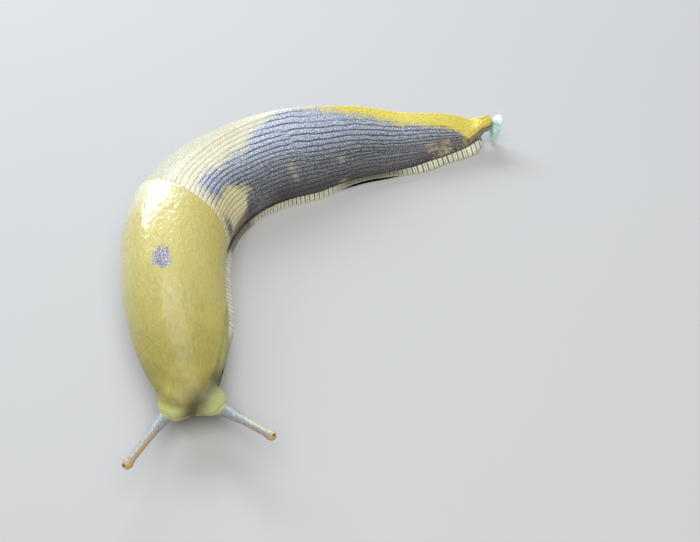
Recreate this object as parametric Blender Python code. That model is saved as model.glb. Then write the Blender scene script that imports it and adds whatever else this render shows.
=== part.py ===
"""A banana slug at life size, at rest on its foot, its body bent to its left."""
import math

import bmesh
import bpy
from mathutils import Matrix, Vector

# Sizes are millimetres and angles degrees. Every vertex is scaled to metres once, in place().
MM = 0.001
GAP = 0.3
# About the middle of the whole animal's box, which becomes the origin.
CENTRE_X = -7.08
CENTRE_Y = -3.76

# The spine runs on the floor plane from the snout to the tip of the tail.
LENGTH = 166.0
SNOUT = (-35.7, -50.8)
HEADING_AT_SNOUT = 104.7
# Each bend: where it starts and ends along the spine, and how far it turns.
BENDS = ((8.0, 48.0, -2.0), (33.5, 110.0, -81.5), (118.0, 140.0, -17.5), (140.0, 160.0, 4.0))
SPINE_STEP = 0.25

# Stations along the spine: distance, half width, height, half width of the foot, keel from 0 to 1.
STATIONS = (
    (0.0, 6.2, 10.5, 0.0, 0.0),
    (8.0, 7.5, 13.2, 5.8, 0.0),
    (20.0, 10.0, 17.8, 11.4, 0.0),
    (40.0, 12.4, 22.2, 14.2, 0.0),
    (60.0, 12.9, 23.9, 14.8, 0.05),
    (85.0, 12.7, 23.5, 14.4, 0.3),
    (105.0, 12.1, 23.1, 14.2, 0.5),
    (122.0, 10.4, 19.2, 13.0, 0.7),
    (138.0, 8.2, 14.0, 11.9, 0.85),
    (150.0, 6.1, 12.8, 9.6, 0.9),
    (157.0, 4.4, 10.5, 7.2, 0.9),
    (161.0, 3.2, 7.6, 4.9, 0.8),
    (163.5, 1.8, 5.4, 3.6, 0.4),
)
# The flank is widest this share of the way up from the groove over the fringe, less on the keel.
WIDEST = 0.29
WIDEST_KEEL_LOSS = 0.5
# On the inner side of the bend the flank swells by this much, and on the neck by a little.
INNER_SWELL = 1.3
SWELL_MIDDLE = 54.0
SWELL_REACH = 28.0
NECK_SWELL = 1.0
NECK_SWELL_MIDDLE = 24.0
NECK_SWELL_REACH = 20.0
# What the outer side of the bend adds to the half width: distance along the spine and width.
OUTER_SWELL = ((8.0, 0.0), (18.0, 0.6), (28.0, 0.75), (38.0, 0.4), (46.0, 0.0), (56.0, 0.3), (65.0, 1.1),
               (74.0, 1.3), (84.0, 1.0), (96.0, 0.3), (106.0, 0.0))
TUCK = 112.0
GROOVE_Z = 3.0

# The mantle: a shield over the front half, thick as its free edge, with a slanted rear margin.
MANTLE_FRONT = 0.8
MANTLE_REAR = 62.3
MANTLE_THICK = 1.25
MANTLE_MARGIN = 104.0
MANTLE_SLANT = 3.5
SLANT_REACH = 15.0
TRUNK_INSET = 1.75
BACK_INSET = 0.45
# The skin behind the mantle comes out to the full outline over this length before this distance.
BACK_INSET_END = 104.0
BACK_INSET_FADE = 20.0
# How far behind the mantle's rear margin the covered trunk ends and the open back begins.
COVERED_END = 0.6
OPEN_START = 1.1
# How square the outline of the mantle is at its front and at its rear; 2 is round.
FRONT_POWER = 2.3
REAR_POWER = 4.5
MANTLE_COLUMNS = 44
MANTLE_ROWS = 24
# The head leaves room for the mantle up to this height over the skin and this much past its margin.
ROOM_HEIGHT = 4.0
ROOM_SPREAD = 1.03
# The band of the wrapped ball, in degrees of latitude, that rounds the free edge.
RIM_BAND = 12.0
RIM_SWELL = 0.012
# The breathing pore opens through the right margin: its place, angle and radii.
BREATH_S = 40.0
BREATH_ANGLE = -93.0
BREATH_RADII = (1.6, 2.2, 1.5)

# Furrows along the back, one in each pair of columns.
FURROWS = 20
FURROW_DEPTH = 0.45
FURROW_WAVE = 1.3
FURROW_WAVE_LENGTH = 43.0
FURROW_PHASE = 0.6
BODY_SIDES = 24
BODY_STEP = 3.5
# The furrows are shallower and the rings closer on the tail.
TAIL_FURROW_SHARE = 0.7
TAIL_STEP = 2.5

# The foot and its ribbed fringe.
FOOT_START = 6.6
FOOT_END = 163.6
# The lengths over which its front and its end round off.
FOOT_NOSE = 6.0
FOOT_HEEL = 3.5
RIB_PITCH = 2.4
RIB_DEPTH = 0.5
# Where in each pitch the rib ends and where its groove is deepest.
RIB_END = 0.55
RIB_GROOVE = 0.78
# The outer side of the foot stays this far inside the body, and spreads by a share behind the bend.
OUTER_FOOT_IN = 0.3
OUTER_FOOT_SHARE = 0.5
OUTER_FOOT_START = 60.0
OUTER_FOOT_REACH = 40.0
# Where the fringe meets the body: a share of the body's half width and a little more.
FRINGE_TOP_SHARE = 0.93
FRINGE_TOP_EXTRA = 0.5
FRINGE_LEAST = 0.3
# The section of the fringe: how far the sole is drawn in, then heights and how far each is drawn in.
SOLE_IN = 0.6
SOLE_LEAST = 0.2
FRINGE_LOW = 0.45
FRINGE_HIGH = 1.2
FRINGE_HIGH_IN = 0.15
FRINGE_TOP = 2.4
FRINGE_TOP_CUT = 0.6
FOOT_TOP_IN = 0.5
FOOT_TOP_LEAST = 0.15

# The head: a swelling over the root of each eye stalk and a bridge between them.
BULGE_RIGHT = (-40.7, -47.3, 8.0, 3.7)
BULGE_LEFT = (-32.4, -46.0, 8.0, 3.6)
BRIDGE = (-36.7, -46.4, 7.8)
BRIDGE_RADII = (5.0, 3.1, 3.1)
HEAD_END = 9.0
# Rings that round the snout off: distance and share of the full section round this height.
HEAD_RINGS = ((2.4, 0.45), (3.0, 0.78), (4.2, 0.95), (5.6, 1.0), (7.2, 1.0), (HEAD_END - GAP / 2, 1.0))
HEAD_SIDES = 20
SNOUT_Z = 6.6
# The underside of the head rises clear of the floor in front of the foot.
CHIN_START = 7.5
CHIN_REACH = 6.0
CHIN_RISE = 1.8

# Eye stalks: root and tip, then radii at the root, half way and below the knob.
STALK_RIGHT = ((-42.5, -48.6, 6.5), (-48.8, -65.8, 12.2))
STALK_LEFT = ((-29.8, -47.3, 6.5), (-16.6, -58.3, 12.2))
STALK_RADII = (1.65, 1.0, 0.85)
KNOB_RADIUS = 1.25
KNOB_LENGTH = 1.7 * KNOB_RADIUS
# Latitudes of the knob's rings, from where it meets its stalk.
KNOB_FROM = -50.0
KNOB_STEP = 22.5
KNOB_RINGS = 7
# Rings of the collar round each stalk's root: distance along the stalk and what its radius adds.
COLLAR_LENGTH = 2.6
COLLAR = ((-1.5, 0.5), (0.6, 0.2), (COLLAR_LENGTH, 0.0))
# The short lower feelers and the lips lie in the shade under the swellings.
FEELER_RIGHT = ((-39.6, -46.4, 5.0), (-41.2, -47.2, 1.9))
FEELER_LEFT = ((-33.8, -44.9, 5.0), (-32.4, -45.3, 1.9))
FEELER_RADIUS = 0.6
FEELER_STUB = 1.7
FEELER_ROOT_IN = 0.8
FEELER_ROOT_EXTRA = 0.2
FEELER_TIP = 0.35
UPPER_LIP = ((-36.9, -45.9, 4.6), (2.3, 1.5, 1.1))
LOWER_LIP = ((-36.8, -44.8, 3.9), (1.6, 1.5, 0.7))
EYE_RADIUS = 0.45
EYE_DEPTH = 0.35

# The tail ends in an overhanging horn with the mucus pore, and a plug of mucus hangs from it.
# Rings of the horn: distance, height of its middle, half width, half height.
HORN = ((149.0, 8.4, 0.9, 1.6), (153.0, 8.6, 1.9, 2.9), (157.0, 7.8, 2.1, 2.7), (160.0, 7.1, 2.2, 2.2),
        (162.5, 7.0, 2.3, 2.2), (164.4, 7.4, 2.2, 2.5), (165.5, 7.6, 1.6, 1.9))
HORN_SIDES = 16
PORE = (164.0, 9.9)
PORE_RADII = (2.6, 0.8, 1.8)
# Rings of the plug: height, half width across the tail, half width along it.
PLUG_S = 167.5
PLUG = ((0.5, 0.4, 0.4), (1.4, 0.9, 0.8), (3.0, 1.2, 1.2), (5.4, 1.5, 1.4), (7.8, 1.75, 1.5),
        (9.3, 1.5, 1.35), (10.2, 0.9, 0.8))
PLUG_SIDES = 12

# Where the body and the foot are cut into lengths.
BODY_CUTS = (HEAD_END, 24.0, 44.0, 80.0, 104.0, 132.0)
FOOT_CUTS = (44.0, 84.0, 124.0)

TYPE = "banana_slug"


def clear_scene():
    for old in list(bpy.data.objects):
        bpy.data.objects.remove(old, do_unlink=True)


def ease(x):
    """Smooth step from 0 to 1."""
    x = min(1.0, max(0.0, x))
    return x * x * (3.0 - 2.0 * x)


def heading(s):
    turn = HEADING_AT_SNOUT
    for start, end, angle in BENDS:
        turn += angle * ease((s - start) / (end - start))
    return math.radians(turn)


def walk_spine():
    """Points of the spine, one each SPINE_STEP, found by walking along its heading."""
    points = [SNOUT]
    for i in range(int(LENGTH / SPINE_STEP)):
        middle = heading((i + 0.5) * SPINE_STEP)
        x, y = points[-1]
        points.append((x + SPINE_STEP * math.cos(middle), y + SPINE_STEP * math.sin(middle)))
    return points


SPINE = walk_spine()


def spine(s):
    """Place on the spine and the unit vector to the animal's left there."""
    clamped = min(max(s, 0.0), LENGTH)
    i = min(int(clamped / SPINE_STEP), len(SPINE) - 2)
    f = clamped / SPINE_STEP - i
    x = SPINE[i][0] * (1 - f) + SPINE[i + 1][0] * f
    y = SPINE[i][1] * (1 - f) + SPINE[i + 1][1] * f
    h = heading(clamped)
    beyond = s - clamped
    x += beyond * math.cos(h)
    y += beyond * math.sin(h)
    return Vector((x, y)), Vector((math.sin(h), -math.cos(h)))


def smooth_column(rows, s, column):
    """Smooth value at s of one column of rows whose first column is the distance."""
    s = min(max(s, rows[0][0]), rows[-1][0])
    i = max(j for j in range(len(rows) - 1) if rows[j][0] <= s)
    x0, x1 = rows[i][0], rows[i + 1][0]
    y0, y1 = rows[i][column], rows[i + 1][column]

    def slope(j):
        if j == 0 or j == len(rows) - 1:
            a, b = (0, 1) if j == 0 else (j - 1, j)
        else:
            a, b = j - 1, j + 1
        return (rows[b][column] - rows[a][column]) / (rows[b][0] - rows[a][0])

    h = x1 - x0
    t = (s - x0) / h
    return ((2 * t ** 3 - 3 * t ** 2 + 1) * y0 + (t ** 3 - 2 * t ** 2 + t) * h * slope(i)
            + (3 * t ** 2 - 2 * t ** 3) * y1 + (t ** 3 - t ** 2) * h * slope(i + 1))


def station(s, column):
    return smooth_column(STATIONS, s, column)


def flank(s, angle, inset=0.0, floor=GROOVE_Z):
    """Offset to the left and height of the skin; angle 0 is the keel, 90 the left flank."""
    width = station(s, 1) - inset
    height = station(s, 2) - inset
    keel = min(1.0, max(0.0, station(s, 4)))
    middle = GROOVE_Z + WIDEST * (1.0 - WIDEST_KEEL_LOSS * keel) * (station(s, 2) - GROOVE_Z)
    if angle > 0.0:
        width += INNER_SWELL * ease(1.0 - abs(s - SWELL_MIDDLE) / SWELL_REACH)
        width += NECK_SWELL * ease(1.0 - abs(s - NECK_SWELL_MIDDLE) / NECK_SWELL_REACH)
    else:
        width += smooth_column(OUTER_SWELL, s, 1)
    a = math.radians(angle)
    if abs(angle) < 90.0:
        round_top = math.cos(a)
        ridge_top = 1.0 - abs(math.sin(a))
        z = middle + (height - middle) * ((1 - keel) * round_top + keel * ridge_top)
    else:
        z = middle + (middle - floor) * math.cos(a) / abs(math.cos(math.radians(TUCK)))
    return width * math.sin(a), z


def at(s, offset, z):
    """World place, still in millimetres, of a point beside the spine."""
    point, left = spine(s)
    return Vector((point.x + left.x * offset, point.y + left.y * offset, z))


def place(v):
    return Vector((v[0] - CENTRE_X, v[1] - CENTRE_Y, v[2])) * MM


def slant(u, angle):
    """Distance along the spine of row u, slanted near the rear margin of the mantle."""
    reach = max(0.0, 1.0 - abs(u - MANTLE_REAR) / SLANT_REACH)
    return u - MANTLE_SLANT * ease(reach) * math.sin(math.radians(angle))


def loose_object(name, bm):
    """Object of a closed mesh with its faces turned outward, in no collection yet."""
    bmesh.ops.recalc_face_normals(bm, faces=bm.faces)
    if bm.calc_volume(signed=True) < 0.0:
        bmesh.ops.reverse_faces(bm, faces=bm.faces)
    mesh = bpy.data.meshes.new(name)
    bm.to_mesh(mesh)
    bm.free()
    mesh.shade_smooth()
    return bpy.data.objects.new(name, mesh)


def new_object(name, bm, material):
    obj = loose_object(name, bm)
    obj.data.materials.append(material)
    PARTS.objects.link(obj)
    return obj


def loft(bm, rings):
    """Closed skin through rings of points given in millimetres."""
    rows = [[bm.verts.new(place(p)) for p in ring] for ring in rings]
    count = len(rows[0])
    for a, b in zip(rows, rows[1:]):
        for j in range(count):
            k = (j + 1) % count
            bm.faces.new((a[j], a[k], b[k], b[j]))
    bm.faces.new(rows[0])
    bm.faces.new(reversed(rows[-1]))


def make_material(name, colour, roughness):
    material = bpy.data.materials.new(name)
    material.use_nodes = True
    shader = material.node_tree.nodes["Principled BSDF"]
    shader.inputs["Base Color"].default_value = (*colour, 1.0)
    shader.inputs["Roughness"].default_value = roughness
    shader.inputs["Metallic"].default_value = 0.0
    return material


def frange(start, end, step):
    """Even steps from start to end, both included, none longer than step."""
    count = max(1, math.ceil((end - start) / step))
    return [start + (end - start) * i / count for i in range(count + 1)]


def body_ring(u, inset, furrow, sides):
    """One ring of a body length: over the back from right to left, then the flat underside."""
    ring = []
    for j in range(sides + 1):
        angle = -TUCK + 2 * TUCK * j / sides
        groove = furrow if j % 2 else 0.0
        turned = angle
        if furrow and 0 < j < sides and j != sides // 2:
            turned += FURROW_WAVE * math.sin(u * 2 * math.pi / FURROW_WAVE_LENGTH + FURROW_PHASE * j)
        s = slant(u, angle)
        offset, z = flank(s, turned, inset + groove)
        ring.append(at(s, offset, max(z, GROOVE_Z)))
    return ring


def body_length(name, start, end, covered, material, sides=BODY_SIDES, furrow=0.0, step=BODY_STEP):
    """A length of the body between two flat cuts, thinner where the mantle covers it."""
    bm = bmesh.new()
    first, last = start + GAP / 2, end - GAP / 2
    edge_in, edge_out = MANTLE_REAR + COVERED_END, MANTLE_REAR + OPEN_START
    if covered and last > edge_out:
        rows = [(u, TRUNK_INSET, 0.0) for u in frange(first, edge_in, step)]
        rows += [(u, BACK_INSET, furrow) for u in frange(edge_out, last, step)]
    elif covered:
        rows = [(u, TRUNK_INSET, 0.0) for u in frange(first, last, step)]
    else:
        rows = []
        for u in frange(first, last, step):
            rows.append((u, BACK_INSET * ease((BACK_INSET_END - u) / BACK_INSET_FADE), furrow))
    loft(bm, [body_ring(u, inset, depth, sides) for u, inset, depth in rows])
    return new_object(name, bm, material)


def foot_half(s, side):
    """Half width of the foot, less on the outer, right side of the bend."""
    to_nose = min(1.0, (s - FOOT_START) / FOOT_NOSE)
    to_heel = min(1.0, (FOOT_END - s) / FOOT_HEEL)
    full = station(s, 3) * math.sqrt(1.0 - (1.0 - to_nose) ** 2) * math.sqrt(1.0 - (1.0 - to_heel) ** 2)
    if side > 0:
        return full
    body = station(s, 1)
    spread = OUTER_FOOT_SHARE * ease((s - OUTER_FOOT_START) / OUTER_FOOT_REACH)
    return min(full, body - OUTER_FOOT_IN + spread * (full - body))


def foot_ring(s, rib):
    """Section of the foot: flat sole, sloping fringe, flat top under the body."""
    top = GROOVE_Z - GAP
    ring = []
    for side in (-1, 1):
        edge = foot_half(s, side)
        neck = min(edge - FRINGE_LEAST, station(s, 1) * FRINGE_TOP_SHARE + FRINGE_TOP_EXTRA)
        cut = RIB_DEPTH * rib
        half = [(max(edge - SOLE_IN, SOLE_LEAST), 0.0),
                (edge - cut, FRINGE_LOW),
                (edge - FRINGE_HIGH_IN - cut, FRINGE_HIGH),
                (neck - FRINGE_TOP_CUT * cut, FRINGE_TOP),
                (max(neck - FOOT_TOP_IN, FOOT_TOP_LEAST), top)]
        points = [at(s, side * y, z) for y, z in half]
        ring += points if side > 0 else list(reversed(points))
    return ring


def foot_length(name, start, end, material):
    """A length of the foot with a rib each RIB_PITCH along its fringe."""
    bm = bmesh.new()
    first, last = start + GAP / 2, end - GAP / 2
    count = round((last - first) / RIB_PITCH)
    pitch = (last - first) / count
    rows = []
    for i in range(count):
        base = first + i * pitch
        rows += [(base, 0.0), (base + RIB_END * pitch, 0.0), (base + RIB_GROOVE * pitch, 1.0)]
    rows.append((last, 0.0))
    loft(bm, [foot_ring(s, rib) for s, rib in rows])
    return new_object(name, bm, material)


def mantle_point(around, out, inset):
    """Point of the mantle; out runs from 0 in its middle to 1 at its margin."""
    middle = (MANTLE_FRONT + MANTLE_REAR) / 2
    half = (MANTLE_REAR - MANTLE_FRONT) / 2
    c, s = math.cos(around), math.sin(around)
    power = FRONT_POWER if c < 0 else REAR_POWER
    reach = (abs(c) ** power + abs(s) ** power) ** (-1.0 / power)
    u = middle + half * reach * c * out
    angle = MANTLE_MARGIN * reach * s * out
    along = slant(u, angle)
    offset, z = flank(along, angle, inset)
    return at(along, offset, z)


def mantle_ball(outer, inner, spread):
    """A ball pressed flat and wrapped over the body: its equator is the mantle's free edge."""
    bm = bmesh.new()
    bmesh.ops.create_uvsphere(bm, u_segments=MANTLE_COLUMNS, v_segments=MANTLE_ROWS, radius=1.0)
    for v in bm.verts:
        around = math.atan2(v.co.y, v.co.x)
        rise = math.degrees(math.asin(min(1.0, max(-1.0, v.co.z))))
        rim = min(1.0, abs(rise) / RIM_BAND)
        sheet = (90.0 - abs(rise)) / (90.0 - RIM_BAND)
        out = min(1.0, sheet) * spread
        if rim < 1.0:
            out = spread * (1.0 + RIM_SWELL * math.cos(rim * math.pi / 2))
        side = math.copysign(math.sin(rim * math.pi / 2), v.co.z)
        v.co = place(mantle_point(around, out, (outer + inner) / 2 - (inner - outer) / 2 * side))
    return bm


def add_ball(bm, centre, radii, sides=20):
    matrix = Matrix.Translation(place(centre)) @ Matrix.Diagonal((*(r * MM for r in radii), 1.0))
    bmesh.ops.create_uvsphere(bm, u_segments=sides, v_segments=sides // 2, radius=1.0, matrix=matrix)


def ball_object(name, centre, radii, sides=20):
    bm = bmesh.new()
    add_ball(bm, centre, radii, sides)
    return loose_object(name, bm)


def tube(name, path, segments=12):
    """Closed tube through points with a radius each, square to the line between its ends."""
    axis = (Vector(path[-1][0]) - Vector(path[0][0])).normalized()
    side = axis.cross(Vector((0, 0, 1))).normalized()
    up = side.cross(axis)
    bm = bmesh.new()
    rings = []
    for point, radius in path:
        ring = []
        for j in range(segments):
            turn = 2 * math.pi * j / segments
            ring.append(Vector(point) + radius * (math.cos(turn) * side + math.sin(turn) * up))
        rings.append(ring)
    loft(bm, rings)
    return loose_object(name, bm)


def fuse(name, pieces, material, cutters=()):
    """One solid from pieces that run into each other, less the cutters."""
    joined = bpy.data.collections.new(name + "_pieces")
    bpy.context.scene.collection.children.link(joined)
    removed = bpy.data.collections.new(name + "_cutters")
    bpy.context.scene.collection.children.link(removed)
    base = pieces[0]
    PARTS.objects.link(base)
    for piece in pieces[1:]:
        joined.objects.link(piece)
    for cutter in cutters:
        removed.objects.link(cutter)
    for operation, group in (("UNION", joined), ("DIFFERENCE", removed)):
        if group.objects:
            modifier = base.modifiers.new(operation.lower(), "BOOLEAN")
            modifier.operation = operation
            modifier.operand_type = "COLLECTION"
            modifier.collection = group
            modifier.solver = "EXACT"
    bpy.context.view_layer.update()
    result = bpy.data.meshes.new_from_object(base.evaluated_get(bpy.context.evaluated_depsgraph_get()))
    base.modifiers.clear()
    base.data = result
    base.name = name
    result.materials.clear()
    result.materials.append(material)
    result.shade_smooth()
    for group in (joined, removed):
        for piece in list(group.objects):
            bpy.data.objects.remove(piece, do_unlink=True)
        bpy.data.collections.remove(group)
    return base


def along(start, end, distance):
    a, b = Vector(start), Vector(end)
    return a + (b - a).normalized() * distance


def head_core():
    """The front of the body under the mantle, rounded off at the snout."""
    rings = []
    for s, scale in HEAD_RINGS:
        floor = GROOVE_Z + CHIN_RISE * ease((CHIN_START - s) / CHIN_REACH)
        ring = []
        for j in range(HEAD_SIDES + 1):
            angle = -TUCK + 2 * TUCK * j / HEAD_SIDES
            offset, z = flank(s, angle, TRUNK_INSET, floor)
            ring.append(at(s, offset * scale, SNOUT_Z + (max(z, floor) - SNOUT_Z) * scale))
        rings.append(ring)
    bm = bmesh.new()
    loft(bm, rings)
    return loose_object("head", bm)


def make_head(material):
    pieces = [head_core()]
    for name, bulge in (("right", BULGE_RIGHT), ("left", BULGE_LEFT)):
        pieces.append(ball_object("bulge_" + name, bulge[:3], (bulge[3],) * 3))
    pieces.append(ball_object("bridge", BRIDGE, BRIDGE_RADII))
    for name, (root, tip) in (("right", STALK_RIGHT), ("left", STALK_LEFT)):
        path = [(along(root, tip, distance), STALK_RADII[0] + extra) for distance, extra in COLLAR]
        pieces.append(tube("collar_" + name, path))
    room = loose_object("under_mantle", mantle_ball(-ROOM_HEIGHT, MANTLE_THICK + GAP, ROOM_SPREAD))
    for name, (root, tip) in (("right", FEELER_RIGHT), ("left", FEELER_LEFT)):
        stub = [(along(root, tip, -FEELER_ROOT_IN), FEELER_RADIUS + FEELER_ROOT_EXTRA),
                (along(root, tip, FEELER_STUB), FEELER_RADIUS)]
        pieces.append(tube("feeler_stub_" + name, stub, 10))
    for name, (centre, radii) in (("upper_lip", UPPER_LIP), ("lower_lip", LOWER_LIP)):
        pieces.append(ball_object(name, centre, radii, 14))
    return fuse("head", pieces, material, [room])


def make_mantle(material):
    """The mantle with the breathing pore cut through its right margin."""
    shield = loose_object("mantle", mantle_ball(0.0, MANTLE_THICK, 1.0))
    offset, z = flank(BREATH_S, BREATH_ANGLE)
    pore = ball_object("breathing_pore", at(BREATH_S, offset, z), BREATH_RADII, 14)
    return fuse("mantle", [shield], material, [pore])


def make_feeler(side, root, tip, material):
    """A short lower feeler, rounded at its tip."""
    length = (Vector(tip) - Vector(root)).length
    path = [(along(root, tip, FEELER_STUB + GAP), FEELER_RADIUS),
            (along(root, tip, length), FEELER_RADIUS * 0.9),
            (along(root, tip, length + FEELER_TIP), FEELER_RADIUS * 0.5)]
    feeler = tube(f"feeler_{side}", path, 10)
    feeler.data.materials.append(material)
    PARTS.objects.link(feeler)


def make_tail(start, material):
    """The end of the tail with the overhanging horn fused on and its mucus pore cut."""
    tail = body_length("tail", start, STATIONS[-1][0] + GAP / 2, False, material, 2 * FURROWS,
                       FURROW_DEPTH * TAIL_FURROW_SHARE, TAIL_STEP)
    PARTS.objects.unlink(tail)
    bm = bmesh.new()
    rings = []
    for s, z, wide, high in HORN:
        turns = [2 * math.pi * j / HORN_SIDES for j in range(HORN_SIDES)]
        rings.append([at(s, wide * math.sin(turn), z + high * math.cos(turn)) for turn in turns])
    loft(bm, rings)
    horn = loose_object("horn", bm)
    point, left = spine(PORE[0])
    pore = ball_object("pore", (0, 0, 0), (1, 1, 1), 14)
    turn = Matrix(((left.y * -1, left.x, 0), (left.x, left.y, 0), (0, 0, 1))).to_4x4()
    stretch = Matrix.Diagonal((*PORE_RADII, 1.0))
    centre = Matrix.Translation(place(at(PORE[0], 0.0, PORE[1])))
    back_to_origin = Matrix.Translation(-place((0, 0, 0)))
    pore.data.transform(centre @ turn @ stretch @ back_to_origin)
    return fuse("tail", [tail, horn], material, [pore])


def make_plug(material):
    """The plug of dried mucus that hangs from the pore."""
    bm = bmesh.new()
    rings = []
    for z, across, length in PLUG:
        turns = [2 * math.pi * j / PLUG_SIDES for j in range(PLUG_SIDES)]
        rings.append([at(PLUG_S + length * math.cos(turn), across * math.sin(turn), z) for turn in turns])
    loft(bm, rings)
    return new_object("tail_plug", bm, material)


def stalk_radius(share):
    root, middle, neck = STALK_RADII
    if share < 0.5:
        return root + (middle - root) * ease(share * 2.0)
    return middle + (neck - middle) * (share * 2.0 - 1.0)


def make_stalk(side, root, tip, material, eye_material):
    """An eye stalk in two lengths, its knob and the eye sunk in the knob's end."""
    length = (Vector(tip) - Vector(root)).length
    knob_start = length - KNOB_LENGTH
    half = length * 0.5
    for part, start, end in (("lower", COLLAR_LENGTH + GAP, half), ("upper", half + GAP, knob_start)):
        path = []
        for i in range(5):
            d = start + (end - start) * i / 4
            share = (d - COLLAR_LENGTH) / (length - COLLAR_LENGTH)
            path.append((along(root, tip, d), stalk_radius(share)))
        stalk = tube(f"eye_stalk_{side}_{part}", path)
        stalk.data.materials.append(material)
        PARTS.objects.link(stalk)
    first = knob_start + GAP
    path = [(along(root, tip, first), STALK_RADII[2])]
    centre = length - KNOB_RADIUS
    for i in range(KNOB_RINGS):
        turn = math.radians(KNOB_FROM + i * KNOB_STEP)
        d = centre + KNOB_RADIUS * math.sin(turn)
        if d > first:
            path.append((along(root, tip, d), KNOB_RADIUS * math.cos(turn)))
    knob = tube(f"eye_knob_{side}", path, 14)
    eye_centre = along(root, tip, length - EYE_DEPTH)
    pit = ball_object("pit", eye_centre, (EYE_RADIUS + GAP,) * 3, 14)
    fuse(f"eye_knob_{side}", [knob], material, [pit])
    eye = ball_object(f"eye_{side}", eye_centre, (EYE_RADIUS,) * 3, 12)
    eye.data.materials.append(eye_material)
    PARTS.objects.link(eye)


clear_scene()
PARTS = bpy.data.collections.new(TYPE)
bpy.context.scene.collection.children.link(PARTS)
MANTLE_SKIN = make_material("mantle_skin", (0.55, 0.46, 0.10), 0.25)
YELLOW_SKIN = make_material("yellow_skin", (0.74, 0.67, 0.35), 0.35)
DARK_SKIN = make_material("dark_skin", (0.10, 0.10, 0.12), 0.35)
FOOT_SKIN = make_material("foot_skin", (0.55, 0.56, 0.34), 0.4)
STALK_SKIN = make_material("stalk_skin", (0.50, 0.48, 0.42), 0.3)
EYE = make_material("eye", (0.01, 0.01, 0.01), 0.1)
MUCUS = make_material("mucus_plug", (0.35, 0.75, 0.50), 0.2)

make_head(YELLOW_SKIN)
body_length("neck", *BODY_CUTS[0:2], True, YELLOW_SKIN)
body_length("trunk_front", *BODY_CUTS[1:3], True, YELLOW_SKIN)
body_length("trunk_rear", *BODY_CUTS[2:4], True, YELLOW_SKIN, 2 * FURROWS, FURROW_DEPTH)
body_length("back_front", *BODY_CUTS[3:5], False, DARK_SKIN, 2 * FURROWS, FURROW_DEPTH)
body_length("back_rear", *BODY_CUTS[4:6], False, DARK_SKIN, 2 * FURROWS, FURROW_DEPTH)
make_tail(BODY_CUTS[5], YELLOW_SKIN)
make_plug(MUCUS)
make_mantle(MANTLE_SKIN)
foot_length("foot_front", FOOT_START, FOOT_CUTS[0], FOOT_SKIN)
foot_length("foot_middle", FOOT_CUTS[0], FOOT_CUTS[1], FOOT_SKIN)
foot_length("foot_rear", FOOT_CUTS[1], FOOT_CUTS[2], FOOT_SKIN)
foot_length("foot_tail", FOOT_CUTS[2], FOOT_END, FOOT_SKIN)
make_stalk("right", *STALK_RIGHT, STALK_SKIN, EYE)
make_stalk("left", *STALK_LEFT, STALK_SKIN, EYE)
make_feeler("right", *FEELER_RIGHT, STALK_SKIN)
make_feeler("left", *FEELER_LEFT, STALK_SKIN)
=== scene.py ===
"""The skin, markings and light of a life-size banana slug, built around its solids."""

import itertools
import math

import bmesh
import bpy
import numpy as np
from bpy.props import FloatProperty, FloatVectorProperty, PointerProperty
from mathutils import Matrix, Vector


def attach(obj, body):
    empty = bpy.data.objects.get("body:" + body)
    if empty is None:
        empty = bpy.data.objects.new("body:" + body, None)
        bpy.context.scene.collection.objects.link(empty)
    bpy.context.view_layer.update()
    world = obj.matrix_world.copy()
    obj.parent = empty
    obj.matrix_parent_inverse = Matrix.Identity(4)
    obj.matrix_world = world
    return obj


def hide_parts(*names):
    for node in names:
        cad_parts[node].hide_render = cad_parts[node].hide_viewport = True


bl_info = {
    "name": "Banana slug",
    "version": (1, 0, 0),
    "blender": (4, 5, 0),
    "location": "3D View > Sidebar > Slug",
    "description": "Builds the skin of a banana slug, its foot, head and markings, with a stage",
    "category": "Add Mesh",
}

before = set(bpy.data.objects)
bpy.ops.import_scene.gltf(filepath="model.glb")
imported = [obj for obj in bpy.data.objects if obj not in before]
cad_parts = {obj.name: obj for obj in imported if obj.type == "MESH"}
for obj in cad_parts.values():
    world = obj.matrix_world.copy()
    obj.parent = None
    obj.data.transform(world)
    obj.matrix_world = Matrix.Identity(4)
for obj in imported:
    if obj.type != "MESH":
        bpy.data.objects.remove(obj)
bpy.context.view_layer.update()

# Sizes are millimetres and angles degrees. Every vertex is scaled to metres once, in place().
MM = 0.001
CENTRE = np.array((-7.08, -3.76, 0.0))

# The spine runs on the floor plane from the snout to the tip of the tail.
LENGTH = 166.0
SNOUT = (-35.7, -50.8)
HEADING_AT_SNOUT = 104.7
BENDS = ((8.0, 48.0, -2.0), (33.5, 110.0, -81.5), (118.0, 140.0, -17.5), (140.0, 160.0, 4.0))
SPINE_STEP = 0.25

# Stations along the spine: distance, half width, height, half width of the foot, keel from 0 to 1.
STATIONS = np.array((
    (0.0, 6.2, 10.5, 0.0, 0.0),
    (8.0, 7.5, 13.2, 5.8, 0.0),
    (20.0, 10.0, 17.8, 11.4, 0.0),
    (40.0, 12.4, 22.2, 14.2, 0.0),
    (60.0, 12.9, 23.9, 14.8, 0.05),
    (85.0, 12.7, 23.5, 14.4, 0.3),
    (105.0, 12.1, 23.1, 14.2, 0.5),
    (122.0, 10.4, 19.2, 13.0, 0.7),
    (138.0, 8.2, 14.0, 11.9, 0.85),
    (150.0, 6.1, 12.8, 9.6, 0.9),
    (157.0, 4.4, 10.5, 7.2, 0.9),
    (161.0, 3.2, 7.6, 4.9, 0.8),
    (163.5, 1.8, 5.4, 3.6, 0.4),
))
# The widest point lies at this share of the height, and lower where the keel is sharp.
WIDEST = 0.29
WIDEST_KEEL_LOSS = 0.5

# What the inner side of the bend adds to the half width: size, middle and reach.
SWELLS = ((1.3, 54.0, 28.0), (1.0, 24.0, 20.0))

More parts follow.
